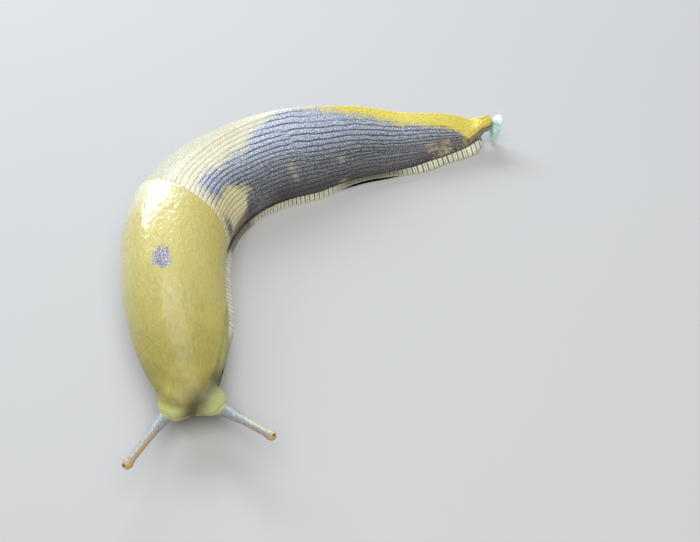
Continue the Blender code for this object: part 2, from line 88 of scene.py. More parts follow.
# What the outer side of the bend adds to the half width: distance and width.
OUTER_SWELL = np.array((
    (8.0, 0.0), (18.0, 0.6), (28.0, 0.75), (38.0, 0.4), (46.0, 0.0), (56.0, 0.3),
    (65.0, 1.1), (74.0, 1.3), (84.0, 1.0), (96.0, 0.3), (106.0, 0.0),
))

# The skin turns in under the flank at this angle, and meets the foot there at this height.
TUCK = 112.0
TUCK_WIDTH = math.sin(math.radians(TUCK))
TUCK_DEPTH = abs(math.cos(math.radians(TUCK)))
GROOVE_Z = 3.0

# Half widths on the left side of the groove over the foot and of the foot itself.
SKIRT = np.array((
    (8.0, 5.9, 4.2),
    (14.0, 8.3, 6.9),
    (17.5, 9.3, 8.9),
    (21.0, 10.3, 10.6),
    (25.0, 11.4, 12.1),
    (30.0, 12.5, 13.7),
    (36.0, 12.7, 14.4),
    (48.0, 13.2, 14.8),
    (62.0, 13.7, 14.1),
    (78.0, 13.9, 13.7),
    (88.0, 13.6, 13.6),
    (100.0, 13.7, 14.0),
    (108.0, 14.2, 14.6),
    (114.0, 13.5, 13.5),
    (120.0, 13.3, 12.0),
    (132.0, 13.1, 11.8),
    (141.0, 11.3, 11.9),
    (146.0, 9.2, 10.8),
    (152.0, 7.0, 8.1),
    (158.0, 4.2, 6.4),
    (162.0, 1.5, 4.7),
    (163.6, 0.8, 3.8),
))

# The skin flares out over the foot below this angle, and less on the outer side of the bend.
FLARE_FROM = 70.0
OUTER_FLARE = 0.6
OUTER_FLARE_START = 60.0
OUTER_FLARE_REACH = 40.0

# Rings of the horn over the end of the tail: distance, height of its middle, half width, half height.
HORN = np.array((
    (149.0, 8.4, 0.9, 1.6),
    (153.0, 8.6, 1.9, 2.9),
    (157.0, 7.8, 2.1, 2.7),
    (160.0, 7.1, 2.2, 1.9),
    (162.5, 7.0, 2.3, 2.2),
    (164.4, 7.4, 2.2, 2.5),
    (165.5, 7.6, 1.6, 1.9),
))
HORN_FROM = 150.0
HORN_BLEND_START = 157.0
HORN_BLEND_REACH = 5.5

# The pore in the end of the horn: distance, half length, half width and depth.
PORE = (164.0, 2.2, 0.75, 1.6)

# The mantle, and how far the trunk and the back lie inside the smooth outline.
MANTLE_FRONT = 0.8
MANTLE_REAR = 62.3
MANTLE_THICK = 1.25
MANTLE_MARGIN = 104.0
MANTLE_SLANT = 3.5
SLANT_REACH = 15.0
TRUNK_INSET = 1.75
BACK_INSET = 0.45
MANTLE_MIDDLE = (MANTLE_FRONT + MANTLE_REAR) / 2.0
MANTLE_HALF = (MANTLE_REAR - MANTLE_FRONT) / 2.0
MANTLE_POWERS = (2.3, 4.5)
SHEET_START = -0.55

# The breathing pore in the right margin: distance and angle.
BREATH_S = 40.0
BREATH_ANGLE = -93.0

# The mantle's spot: distance, angle, half length and half width in degrees.
SPOT = (38.5, -3.5, 3.4, 10.5)

# The foot, its rounded ends, and its section: turn round it, share of the fringe and height.
FOOT_START = 6.6
FOOT_END = 163.6
FOOT_NOSE = 6.0
FOOT_HEEL = 3.5
FOOT_TURNS = (0.0, 0.12, 0.16, 0.22, 0.32, 0.42, 0.52, 0.58, 0.63, 0.68, 0.74, 1.0)
FOOT_SHARES = (-1.0, -0.03, 0.0, 0.06, 0.36, 0.66, 0.88, 0.97, 1.0, 0.98, 0.86, -1.0)
FOOT_HEIGHTS = (2.85, 2.85, 2.82, 2.68, 2.30, 1.80, 1.25, 0.88, 0.50, 0.18, 0.0, 0.0)

# The swellings of the head, place and radius, with the bridge between them and the chin below.
BULGES = {"right": (-40.7, -47.2, 8.2, 3.65), "left": (-32.4, -46.0, 8.0, 3.6)}
BRIDGE = (-36.7, -45.7, 8.0)
BRIDGE_RADII = (5.0, 2.3, 2.5)
CHIN_START = 7.5
CHIN_RISE = 1.8

# Eye stalks and lower feelers: root and tip of each.
STALKS = {
    "right": np.array(((-42.5, -48.6, 6.5), (-48.8, -65.8, 12.2))),
    "left": np.array(((-29.8, -47.3, 6.5), (-16.6, -58.3, 12.2))),
}
FEELERS = {
    "right": np.array(((-39.6, -46.4, 5.0), (-41.2, -47.2, 1.9))),
    "left": np.array(((-33.8, -44.9, 5.0), (-32.4, -45.3, 1.9))),
}
FEELER_RADIUS = 0.6

# Radii of a stalk at its root, its middle, under its knob and in the knob.
STALK_RADII = (1.60, 1.0, 0.88, 1.22)
STALK_BLUNT = 1.5
KNOB_RADIUS = 1.2

# Shares of amber on each knob's top and of a painted lime glow of light through each stalk's top, and the
# ways called below and above.
STALK_TINTS = {"right": (0.35, 0.1), "left": (0.08, 0.5)}
BELOW = np.array((0.47, -0.81, -0.34))
ABOVE = np.array((0.5, 0.6, 0.62))

# The eyes, and which way each looks from its knob.
EYE_RADIUS = 0.38
EYE_OUT = 0.16
EYE_FACING = {"right": (-0.58, -0.61, 0.53), "left": (0.56, -0.36, 0.745)}

# The lips round the mouth: centre and radii.
LIPS = {"upper": ((-36.9, -45.9, 4.6), (2.3, 1.5, 1.1)), "lower": ((-36.8, -44.8, 3.9), (1.6, 1.5, 0.7))}

# The plug of mucus: its place, and rings of height, half width across the tail and along it.
PLUG_S = 167.2
PLUG_OFFSET = 0.6
PLUG = np.array(((0.5, 0.4, 0.4), (1.4, 1.0, 0.9), (3.0, 1.5, 1.4), (5.4, 1.85, 1.6), (7.8, 1.9, 1.6),
                 (9.3, 1.6, 1.45), (10.2, 0.9, 0.8)))

# The neck rounds off toward this height at the snout.
SNOUT_Z = 6.6

# Where shade is painted on the head: the valley behind the left swelling, which is also darker skin, and the
# line along the front of the mantle.
VALLEY = np.array((
    (-30.6, -37.6, 5.6), (-30.9, -39.6, 7.0), (-31.3, -41.9, 9.0), (-32.1, -44.9, 11.5),
    (-33.3, -46.9, 11.6), (-34.8, -48.3, 10.9), (-35.8, -49.3, 9.8), (-36.6, -49.8, 8.1),
))
BROW = np.array((
    (-44.8, -44.1, 9.4), (-42.7, -47.0, 11.4), (-41.1, -48.5, 11.6), (-39.3, -49.3, 11.2),
    (-37.5, -49.4, 10.4), (-35.7, -48.7, 10.6),
))

# Where the head's skin and the front of its mantle end, and where the back's skin begins.
NECK_JOIN = 47.0
FRONT_END = 25.0
BACK_START = 45.0

# Columns and rows of the meshes.
BACK_MESH = (256, 385)
MANTLE_MESH = (200, 215)
FOOT_MESH = (68, 1300)
NECK_MESH = (120, 120)
FRONT_MESH = (96, 80)
ROD_MESH = (32, 50)
PLUG_MESH = (72, 90)

# The back and the neck go round the body in this share of a turn, and close under it in the rest.
BACK_TURN = 0.94
BACK_CLOSE = 0.06
NECK_TURN = 0.85
NECK_CLOSE = 0.15

# Rows of the back's mesh: share of the way along, and distance; its end is round from the tip on.
BACK_SHARES = (0.0, 0.004, 0.045, 0.985, 1.0)
BACK_ROWS = (BACK_START, BACK_START, 60.0, 165.0, LENGTH)
BACK_TIP = 164.6

# The camera looks at the middle of the body's floor plan, from in front of the snout and above it.
CAMERA_ELEVATION = 50.0
CAMERA_DISTANCE = 260.0
FOCAL_PIXELS = 963.0
IMAGE_WIDTH = 700.0
SENSOR_WIDTH = 36.0

# Daylight: name, place, aim, size, watts, colour and roll of each lamp.
LAMPS = (
    ("sky_behind", (-0.30, 0.61, 0.47), (-0.03, 0.01, 0.02), (0.84, 0.28), 6.8, (0.80, 0.90, 1.0), -22.0),
    ("sky_above", (0.03, -0.20, 0.80), (0.0, 0.0, 0.0), (0.8, 0.8), 6.2, (1.0, 0.99, 0.97), 0.0),
)


def ease(x):
    """Smooth step from 0 to 1."""
    x = np.clip(x, 0.0, 1.0)
    return x * x * (3.0 - 2.0 * x)


def rise(x, start, reach):
    """From 0 at start to 1 a reach further on."""
    return ease((x - start) / reach)


def fall(x, end, reach):
    """From 1 a reach before the end to 0 at the end."""
    return ease((end - x) / reach)


def peak(x, middle, width):
    """1 at the middle, falling away to both sides."""
    return np.exp(-((x - middle) / width) ** 2)


def blend(a, b, share):
    return a + (b - a) * share


def heading(s):
    turn = HEADING_AT_SNOUT + 0.0 * np.asarray(s, float)
    for start, end, angle in BENDS:
        turn = turn + angle * ease((s - start) / (end - start))
    return np.radians(turn)


def walk_spine():
    """Distances along the spine and its points, found by walking along its heading."""
    steps = np.arange(int(LENGTH / SPINE_STEP))
    middle = heading((steps + 0.5) * SPINE_STEP)
    x = SNOUT[0] + np.concatenate(([0.0], np.cumsum(np.cos(middle)))) * SPINE_STEP
    y = SNOUT[1] + np.concatenate(([0.0], np.cumsum(np.sin(middle)))) * SPINE_STEP
    return np.arange(len(x)) * SPINE_STEP, x, y


SPINE = walk_spine()


def at(s, offset, z):
    """Places beside the spine, in millimetres; offset is to the animal's left."""
    clamped = np.clip(s, 0.0, LENGTH)
    h = heading(clamped)
    x = np.interp(clamped, SPINE[0], SPINE[1]) + (s - clamped) * np.cos(h) + offset * np.sin(h)
    y = np.interp(clamped, SPINE[0], SPINE[2]) + (s - clamped) * np.sin(h) - offset * np.cos(h)
    return np.stack(np.broadcast_arrays(x, y, z), axis=-1)


def place(points):
    return (points - CENTRE) * MM


def smooth_column(table, s, column):
    """Smooth value of one column of a table whose first column is the distance."""
    rows, value = table[:, 0], table[:, column]
    slopes = np.empty(len(rows))
    slopes[1:-1] = (value[2:] - value[:-2]) / (rows[2:] - rows[:-2])
    slopes[0] = (value[1] - value[0]) / (rows[1] - rows[0])
    slopes[-1] = (value[-1] - value[-2]) / (rows[-1] - rows[-2])
    s = np.clip(s, rows[0], rows[-1])
    i = np.clip(np.searchsorted(rows, s, side="right") - 1, 0, len(rows) - 2)
    h = rows[i + 1] - rows[i]
    t = (s - rows[i]) / h
    return ((2 * t ** 3 - 3 * t ** 2 + 1) * value[i] + (t ** 3 - 2 * t ** 2 + t) * h * slopes[i]
            + (3 * t ** 2 - 2 * t ** 3) * value[i + 1] + (t ** 3 - t ** 2) * h * slopes[i + 1])


def section(s, left):
    """Half width, height, height of the widest point, keel and flare over the foot of the body."""
    keel = np.clip(smooth_column(STATIONS, s, 4), 0.0, 1.0)
    width = smooth_column(STATIONS, s, 1)
    height = smooth_column(STATIONS, s, 2)
    middle = GROOVE_Z + WIDEST * (1.0 - WIDEST_KEEL_LOSS * keel) * (height - GROOVE_Z)
    over = rise(s, HORN_BLEND_START, HORN_BLEND_REACH)
    wide_horn = smooth_column(HORN, s, 2)
    top_horn = smooth_column(HORN, s, 1) + smooth_column(HORN, s, 3)
    width = np.where(s > HORN_FROM, np.maximum(width, wide_horn), width)
    height = np.where(s > HORN_FROM, np.maximum(height, top_horn), height)
    middle = blend(middle, smooth_column(HORN, s, 1), over)
    swell = 0.0
    for size, centre, reach in SWELLS:
        swell = swell + size * ease(1.0 - np.abs(s - centre) / reach)
    width = width + np.where(left, swell, smooth_column(OUTER_SWELL, s, 1))
    tucked = width * TUCK_WIDTH
    flare = smooth_column(SKIRT, s, 1) - tucked
    outer = OUTER_FLARE * rise(s, OUTER_FLARE_START, OUTER_FLARE_REACH)
    flare = np.where(left, flare, flare * outer)
    return width, height, middle, keel * (1.0 - over), flare


def flank(s, angle, inset=0.0, floor=GROOVE_Z):
    """Offset to the left and height of the skin; angle 0 is the keel, 90 the left flank."""
    width, height, middle, keel, flare = section(s, angle > 0.0)
    height = height - inset
    a = np.radians(angle)
    upper = middle + (height - middle) * ((1.0 - keel) * np.cos(a) + keel * (1.0 - np.abs(np.sin(a))))
    lower = middle + (middle - floor) * np.cos(a) / TUCK_DEPTH
    flared = np.sign(angle) * flare * rise(np.abs(angle), FLARE_FROM, TUCK - FLARE_FROM)
    return (width - inset) * np.sin(a) + flared, np.where(np.abs(angle) < 90.0, upper, lower)


def slant(u, angle):
    """Distance along the spine of row u, slanted near the rear margin of the mantle."""
    reach = np.maximum(0.0, 1.0 - np.abs(u - MANTLE_REAR) / SLANT_REACH)
    return u - MANTLE_SLANT * ease(reach) * np.sin(np.radians(angle))


NOISE_CELLS = 32
NOISE_TABLE = np.random.default_rng(7).random((NOISE_CELLS,) * 3)


def noise(x, y, z=0.0, seed=0):
    """Smooth noise from -1 to 1 with cells one unit wide."""
    x, y, z = np.broadcast_arrays(np.asarray(x, float) + 3.1 * seed, np.asarray(y, float) + 7.7 * seed,
                                  np.asarray(z, float) + 1.3 * seed)
    cells = [np.floor(v).astype(int) for v in (x, y, z)]
    parts = [ease(v - c) for v, c in zip((x, y, z), cells)]
    total = 0.0
    for corner in itertools.product((0, 1), repeat=3):
        weight = 1.0
        for step, part in zip(corner, parts):
            weight = weight * (part if step else 1.0 - part)
        index = tuple((c + step) % NOISE_CELLS for c, step in zip(cells, corner))
        total = total + weight * NOISE_TABLE[index]
    return total * 2.0 - 1.0


def lottery(number):
    """A fixed share from 0 to 1 for each number, with no pattern to it."""
    return np.mod(np.sin(number) * 43758.5453, 1.0)


def new_piece(name, bm, material, replaced):
    """Object from a closed mesh with its faces outward, riding on the body in place of its solids."""
    if bm.calc_volume(signed=True) < 0.0:
        bmesh.ops.reverse_faces(bm, faces=bm.faces)
    mesh = bpy.data.meshes.new(name)
    bm.to_mesh(mesh)
    bm.free()
    mesh.shade_smooth()
    piece = bpy.data.objects.new(name, mesh)
    bpy.context.scene.collection.objects.link(piece)
    mesh.materials.append(material)
    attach(piece, "root")
    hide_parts(*replaced)
    return piece


def coordinates(bm):
    return np.array([v.co for v in bm.verts], float)


def move_vertices(bm, points):
    for v, point in zip(bm.verts, place(points)):
        v.co = point


def ball(columns, rows):
    """A ball, and for each vertex its turn round the axis and its share of the way along."""
    bm = bmesh.new()
    bmesh.ops.create_uvsphere(bm, u_segments=columns, v_segments=rows, radius=1.0)
    co = coordinates(bm)
    turn = np.arctan2(co[:, 1], co[:, 0])
    share = np.arctan2(np.hypot(co[:, 0], co[:, 1]), co[:, 2]) / math.pi
    return bm, turn, share


def set_masks(piece, **masks):
    """Values over the surface that the materials read by name."""
    for name, values in masks.items():
        attribute = piece.data.attributes.new(name, "FLOAT", "POINT")
        attribute.data.foreach_set("value", np.ascontiguousarray(values, np.float32))


def set_path(piece, along, across):
    """Coordinates in millimetres along and across the body, for patterns that follow it."""
    values = np.stack(np.broadcast_arrays(along, across, 0.0), axis=-1).astype(np.float32)
    attribute = piece.data.attributes.new("path", "FLOAT_VECTOR", "POINT")
    attribute.data.foreach_set("vector", values.ravel())


def furrow_set(s, angle, count, seed):
    """Furrows of one count: their phase, closeness to a furrow, and the lumps between cross furrows."""
    wander = 0.33 * noise(s / 11.0, angle / 16.0, seed=seed)
    wander = wander + 0.14 * noise(s / 3.0, angle / 7.0, seed=seed + 1)
    phase = count * angle / TUCK + wander + 0.5
    ridge = np.floor(phase)
    aside = np.abs(phase - ridge - 0.5) * 2.0
    shift = lottery(ridge * 12.9898 + seed)
    pitch = 0.85 + 0.3 * shift
    cross = s / pitch + shift * 5.0 + 0.6 * noise(s / 2.0, ridge, seed=seed + 2)
    cross = np.abs(np.mod(cross, 1.0) - 0.5) * 2.0
    return phase, aside, cross


def furrows(s, angle):
    """Depth from 0 to 1 of the long and cross furrows, and the phases and shares of the two sets."""
    mask = ease(0.5 + 2.6 * (noise(s / 15.0, angle / 24.0, seed=5) + (90.0 - s) / 45.0))
    long_depth = 0.0
    cross_depth = 0.0
    phases = []
    for count, seed, weight in ((20.0, 1, mask), (17.0, 9, 1.0 - mask)):
        phase, aside, cross = furrow_set(s, angle, count, seed)
        phases.append(phase)
        long_depth = long_depth + weight * peak(aside, 1.0, 0.24)
        cross_depth = cross_depth + weight * peak(cross, 1.0, 0.30) * (1.0 - aside ** 4)
    return long_depth, cross_depth, phases, mask


# Edges of the dark markings on the left and of the dark right flank: distance and angle.
DARK_TOP = np.array((
    (60.0, 130.0), (74.0, 42.0), (76.0, 36.0), (80.0, 32.0), (88.0, 29.0), (92.8, 16.0), (98.8, 7.0),
    (103.0, 3.0), (106.0, 1.0), (108.0, 2.0), (110.0, 4.5), (114.0, 7.5), (122.5, 12.5), (130.0, 16.5),
    (138.0, 20.5), (144.0, 22.5), (150.0, 26.0), (154.0, 33.0), (157.0, 50.0), (159.0, 75.0), (160.5, 130.0),
))
DARK_LOW = np.array(((74.0, 48.0), (80.0, 60.0), (84.0, 71.0), (86.5, 130.0)))
DARK_RIGHT = np.array((
    (88.0, 130.0), (94.0, 80.0), (99.0, 40.0), (103.0, 14.0), (106.0, 9.0), (109.0, 8.0), (114.0, 11.0),
    (122.0, 15.0), (138.0, 20.0), (150.0, 27.0), (157.0, 42.0), (163.0, 130.0),
))

# Lone dark spots, and pale blots in the dark: distance, angle, half length along the body and across it.
DARK_SPOTS = (
    (70.0, 40.0, 5.2, 2.6), (63.0, 90.0, 1.6, 2.4), (74.5, 41.0, 3.0, 1.6),
    (84.0, -88.0, 3.5, 3.0), (72.0, -70.0, 2.5, 2.0),
)
STREAKS = (
    (100.8, 64.0, 1.2, 1.6), (101.4, 77.0, 0.9, 2.0), (116.6, 67.0, 1.1, 1.3), (116.0, 109.0, 1.3, 1.5),
)

# Millimetres round the body to a degree of angle.
DEGREE = 0.23


def dark_field(s, angle):
    """Millimetres inside the dark markings of the back, negative outside them."""
    main = np.minimum(angle - np.interp(s, *DARK_TOP.T), np.interp(s, *DARK_LOW.T) - angle) * DEGREE
    band = np.minimum(s - 81.0 + 0.17 * (angle - 79.0), (angle - 74.0) * DEGREE)
    right = (-angle - np.interp(s, *DARK_RIGHT.T)) * DEGREE
    right = right + 2.2 * noise(s / 5.0, angle / 18.0, seed=81) * rise(-angle, 12.0, 20.0)
    field = np.maximum(np.maximum(main, band), right)
    for spot_s, spot_angle, along, across in DARK_SPOTS:
        far = np.hypot((s - spot_s) / along, (angle - spot_angle) * DEGREE / across)
        field = np.maximum(field, (1.0 - far) * min(along, across))
    return field


def new_group(name, inputs, outputs):
    """An empty node group with its sockets and its two end nodes."""
    group = bpy.data.node_groups.new(name, "ShaderNodeTree")
    for label, kind, value in inputs:
        socket = group.interface.new_socket(name=label, in_out="INPUT", socket_type=kind)
        if value is not None:
            socket.default_value = value
    for label, kind in outputs:
        group.interface.new_socket(name=label, in_out="OUTPUT", socket_type=kind)
    return group, group.nodes.new("NodeGroupInput"), group.nodes.new("NodeGroupOutput")


class Tree:
    """Short words for making and joining nodes."""

    def __init__(self, tree):
        self.tree = tree

    def plug(self, value, socket):
        if hasattr(value, "is_output"):
            self.tree.links.new(value, socket)
        else:
            socket.default_value = value

    def math(self, operation, a, b=0.0, clamp=False):
        node = self.tree.nodes.new("ShaderNodeMath")
        node.operation = operation
        node.use_clamp = clamp
        self.plug(a, node.inputs[0])
        self.plug(b, node.inputs[1])
        return node.outputs[0]

    def times(self, a, b):
        return self.math("MULTIPLY", a, b)

    def plus(self, a, b, clamp=False):
        return self.math("ADD", a, b, clamp)

    def minus(self, a, b):
        return self.math("SUBTRACT", a, b)

    def noise(self, vector, scale, detail=2.0, roughness=0.5):
        node = self.tree.nodes.new("ShaderNodeTexNoise")
        self.plug(vector, node.inputs["Vector"])
        self.plug(scale, node.inputs["Scale"])
        node.inputs["Detail"].default_value = detail
        node.inputs["Roughness"].default_value = roughness
        return node.outputs["Fac"]

    def cell_edges(self, vector, scale):
        node = self.tree.nodes.new("ShaderNodeTexVoronoi")
        node.feature = "DISTANCE_TO_EDGE"
        self.plug(vector, node.inputs["Vector"])
        self.plug(scale, node.inputs["Scale"])
        return node.outputs["Distance"]

    def spread(self, value, low, high, to_low=0.0, to_high=1.0):
        node = self.tree.nodes.new("ShaderNodeMapRange")
        node.interpolation_type = "SMOOTHSTEP"
        self.plug(value, node.inputs["Value"])
        self.plug(low, node.inputs["From Min"])
        self.plug(high, node.inputs["From Max"])
        self.plug(to_low, node.inputs["To Min"])
        self.plug(to_high, node.inputs["To Max"])
        return node.outputs["Result"]

    def mix(self, share, a, b, kind="MIX"):
        node = self.tree.nodes.new("ShaderNodeMix")
        node.data_type = "RGBA"
        node.blend_type = kind
        self.plug(share, node.inputs[0])
        for value, socket in ((a, node.inputs[6]), (b, node.inputs[7])):
            self.plug(value if hasattr(value, "is_output") else (*value[:3], 1.0), socket)
        return node.outputs[2]

    def tint(self, colour, name, share, other):
        """The colour turned toward another one by a share of the named mask."""
        return self.mix(self.times(self.mask(name), share), colour, other)

    def stretch(self, vector, factors):
        node = self.tree.nodes.new("ShaderNodeVectorMath")
        node.operation = "MULTIPLY"
        self.plug(vector, node.inputs[0])
        node.inputs[1].default_value = factors
        return node.outputs[0]

    def group(self, name, **values):
        node = self.tree.nodes.new("ShaderNodeGroup")
        node.node_tree = shared_group(name)
        for label, value in values.items():
            self.plug(value, node.inputs[label])
        return node.outputs

    def mask(self, name):
        node = self.tree.nodes.new("ShaderNodeAttribute")
        node.attribute_name = name
        return node.outputs["Fac"]

    def path(self):
        node = self.tree.nodes.new("ShaderNodeAttribute")
        node.attribute_name = "path"
        return node.outputs["Vector"]

    def object_mm(self):
        """Object coordinates in millimetres."""
        node = self.tree.nodes.new("ShaderNodeTexCoord")
        return self.stretch(node.outputs["Object"], (1000.0, 1000.0, 1000.0))


def granule_group():
    """Rounded granules, from 0 in the lines between them to 1 on their tops."""
    group, start, end = new_group(
        "granules",
        (("Vector", "NodeSocketVector", None), ("Size", "NodeSocketFloat", 0.5)),
        (("Height", "NodeSocketFloat"), ("Lines", "NodeSocketFloat")))
    t = Tree(group)
    scale = t.math("DIVIDE", 1.0, start.outputs["Size"])
    edge = t.cell_edges(start.outputs["Vector"], scale)
    top = t.spread(edge, 0.0, 0.38)
    t.plug(top, end.inputs["Height"])
    t.plug(t.spread(edge, 0.02, 0.14, 1.0, 0.0), end.inputs["Lines"])
    return group


def mottle_group():
    """Soft blotches: a mask that is 1 in a share of the surface."""
    group, start, end = new_group(
        "mottling",
        (("Vector", "NodeSocketVector", None), ("Size", "NodeSocketFloat", 3.0),
         ("Middle", "NodeSocketFloat", 0.5), ("Softness", "NodeSocketFloat", 0.1)),
        (("Mask", "NodeSocketFloat"),))
    t = Tree(group)
    scale = t.math("DIVIDE", 1.0, start.outputs["Size"])
    value = t.noise(start.outputs["Vector"], scale, 4.0, 0.55)
    low = t.minus(start.outputs["Middle"], start.outputs["Softness"])
    high = t.plus(start.outputs["Middle"], start.outputs["Softness"])
    t.plug(t.spread(value, low, high), end.inputs["Mask"])
    return group


def wetness_group():
    """Roughness of wet skin, lower where the slime lies thick."""
    group, start, end = new_group(
        "wetness",
        (("Vector", "NodeSocketVector", None), ("Wet", "NodeSocketFloat", 0.15),
         ("Dry", "NodeSocketFloat", 0.4), ("Size", "NodeSocketFloat", 2.5)),
        (("Roughness", "NodeSocketFloat"),))
    t = Tree(group)
    scale = t.math("DIVIDE", 1.0, start.outputs["Size"])
    value = t.noise(start.outputs["Vector"], scale, 3.0, 0.6)
    t.plug(t.spread(value, 0.35, 0.65, start.outputs["Wet"], start.outputs["Dry"]), end.inputs["Roughness"])
    return group


def mantle_group():
    """The mantle's pattern: its blotches, the lines between long granules, its spot and its relief."""
    group, start, end = new_group(
        "mantle_pattern",
        (("Where", "NodeSocketVector", None), ("Path", "NodeSocketVector", None),
         ("Spot", "NodeSocketFloat", 0.0)),
        (("Broad", "NodeSocketFloat"), ("Small", "NodeSocketFloat"), ("Lines", "NodeSocketFloat"),
         ("Spot", "NodeSocketFloat"), ("Beads", "NodeSocketFloat"), ("Height", "NodeSocketFloat")))
    t = Tree(group)
    where, path = start.outputs["Where"], start.outputs["Path"]
    long_grains = t.group("granules", Vector=t.stretch(path, (0.40, 1.0, 1.0)), Size=0.50)
    round_grains = t.group("granules", Vector=where, Size=0.62)
    broad = t.group("mottling", Vector=where, Size=5.5, Middle=0.5, Softness=0.16)
    along = t.stretch(path, (0.6, 1.0, 1.0))
    small = t.group("mottling", Vector=along, Size=0.95, Middle=0.52, Softness=0.14)
    ragged = t.plus(start.outputs["Spot"], t.times(t.noise(where, 0.9, 5.0, 0.75), 2.4))
    t.plug(broad["Mask"], end.inputs["Broad"])
    t.plug(small["Mask"], end.inputs["Small"])
    t.plug(long_grains["Lines"], end.inputs["Lines"])
    t.plug(t.spread(ragged, 1.55, 1.90), end.inputs["Spot"])
    t.plug(round_grains["Height"], end.inputs["Beads"])
    streaks = t.noise(t.stretch(path, (0.35, 1.6, 1.0)), 1.0, 3.0, 0.6)
    height = t.plus(t.times(long_grains["Height"], 0.8), t.times(streaks, 1.4))
    t.plug(t.plus(height, t.times(t.noise(where, 2.6, 3.0), 0.4)), end.inputs["Height"])
    return group


GROUP_MAKERS = {
    "granules": granule_group, "mottling": mottle_group, "wetness": wetness_group,
    "mantle_pattern": mantle_group,
}


def shared_group(name):
    """The node group of that name, built the first time it is asked for."""
    return bpy.data.node_groups.get(name) or GROUP_MAKERS[name]()


def new_material(name, coat=0.0, coat_roughness=0.1, subsurface=0.0, radius=0.0015, coat_ior=1.5):
    """A material with its constant sockets set, its tree and its shader."""
    material = bpy.data.materials.new(name)
    material.use_nodes = True
    shader = material.node_tree.nodes["Principled BSDF"]
    shader.inputs["Coat Weight"].default_value = coat
    shader.inputs["Coat Roughness"].default_value = coat_roughness
    shader.inputs["Coat IOR"].default_value = coat_ior
    shader.inputs["Subsurface Weight"].default_value = subsurface
    shader.inputs["Subsurface Radius"].default_value = (1.0, 0.7, 0.35)
    shader.inputs["Subsurface Scale"].default_value = radius
    return material, Tree(material.node_tree), shader


def add_bump(t, shader, height, distance, strength=1.0):
    node = t.tree.nodes.new("ShaderNodeBump")
    node.inputs["Strength"].default_value = strength
    node.inputs["Distance"].default_value = distance * MM
    t.plug(height, node.inputs["Height"])
    t.plug(node.outputs["Normal"], shader.inputs["Normal"])


def mantle_colour(t, colours, pattern):
    """Colour of the mantle, on its own sheet and on its front that blends with the head."""
    colour = t.mix(t.mask("front"), colours.mantle_gold, colours.mantle_olive)
    colour = t.mix(t.times(pattern["Broad"], 0.35), colour, colours.mantle_ochre)
    colour = t.tint(colour, "side", 0.4, colours.mantle_ochre)
    rearward = t.minus(1.0, t.times(t.mask("front"), 0.72))
    colour = t.mix(t.times(t.times(pattern["Small"], 0.42), rearward), colour, colours.mantle_pale)
    colour = t.mix(t.times(t.times(pattern["Lines"], 0.22), rearward), colour, colours.mantle_shade)
    colour = t.tint(colour, "rear", 0.6, colours.back_cream)
    # Painted shade: the crown mask darkens the middle of the mantle's front.
    colour = t.mix(t.mask("crown"), colour, colours.mantle_shade)
    spot = t.mix(pattern["Beads"], colours.mantle_spot, colours.spot_blue)
    colour = t.mix(t.times(pattern["Spot"], 0.95), colour, spot)
    # Painted shade along the mantle's free margin and in the breathing pore.
    return t.mix(t.mask("rim"), colour, colours.mantle_shade)


def mantle_material(colours):
    material, t, shader = new_material("mantle_skin", coat_roughness=0.2, subsurface=0.15, coat_ior=1.8)
    where, path = t.object_mm(), t.path()
    pattern = t.group("mantle_pattern", Where=where, Path=path, Spot=t.mask("spot"))
    t.plug(mantle_colour(t, colours, pattern), shader.inputs["Base Color"])
    wet = t.group("wetness", Vector=t.stretch(path, (0.5, 1.0, 1.0)), Wet=0.25, Dry=0.45, Size=2.0)
    rough = t.plus(wet["Roughness"], t.times(t.mask("front"), 0.25))
    t.plug(rough, shader.inputs["Roughness"])
    dull = t.math("MAXIMUM", t.mask("side"), t.mask("front"))
    t.plug(t.spread(dull, 0.0, 1.0, 1.0, 0.15), shader.inputs["Coat Weight"])
    add_bump(t, shader, pattern["Height"], 0.06)
    return material


def furrow_line(t, phase):
    """1 in the furrows of a set and 0 on its ridges."""
    part = t.minus(t.math("FRACT", phase), 0.5)
    return t.spread(t.times(t.math("ABSOLUTE", part), 2.0), 0.66, 0.92)


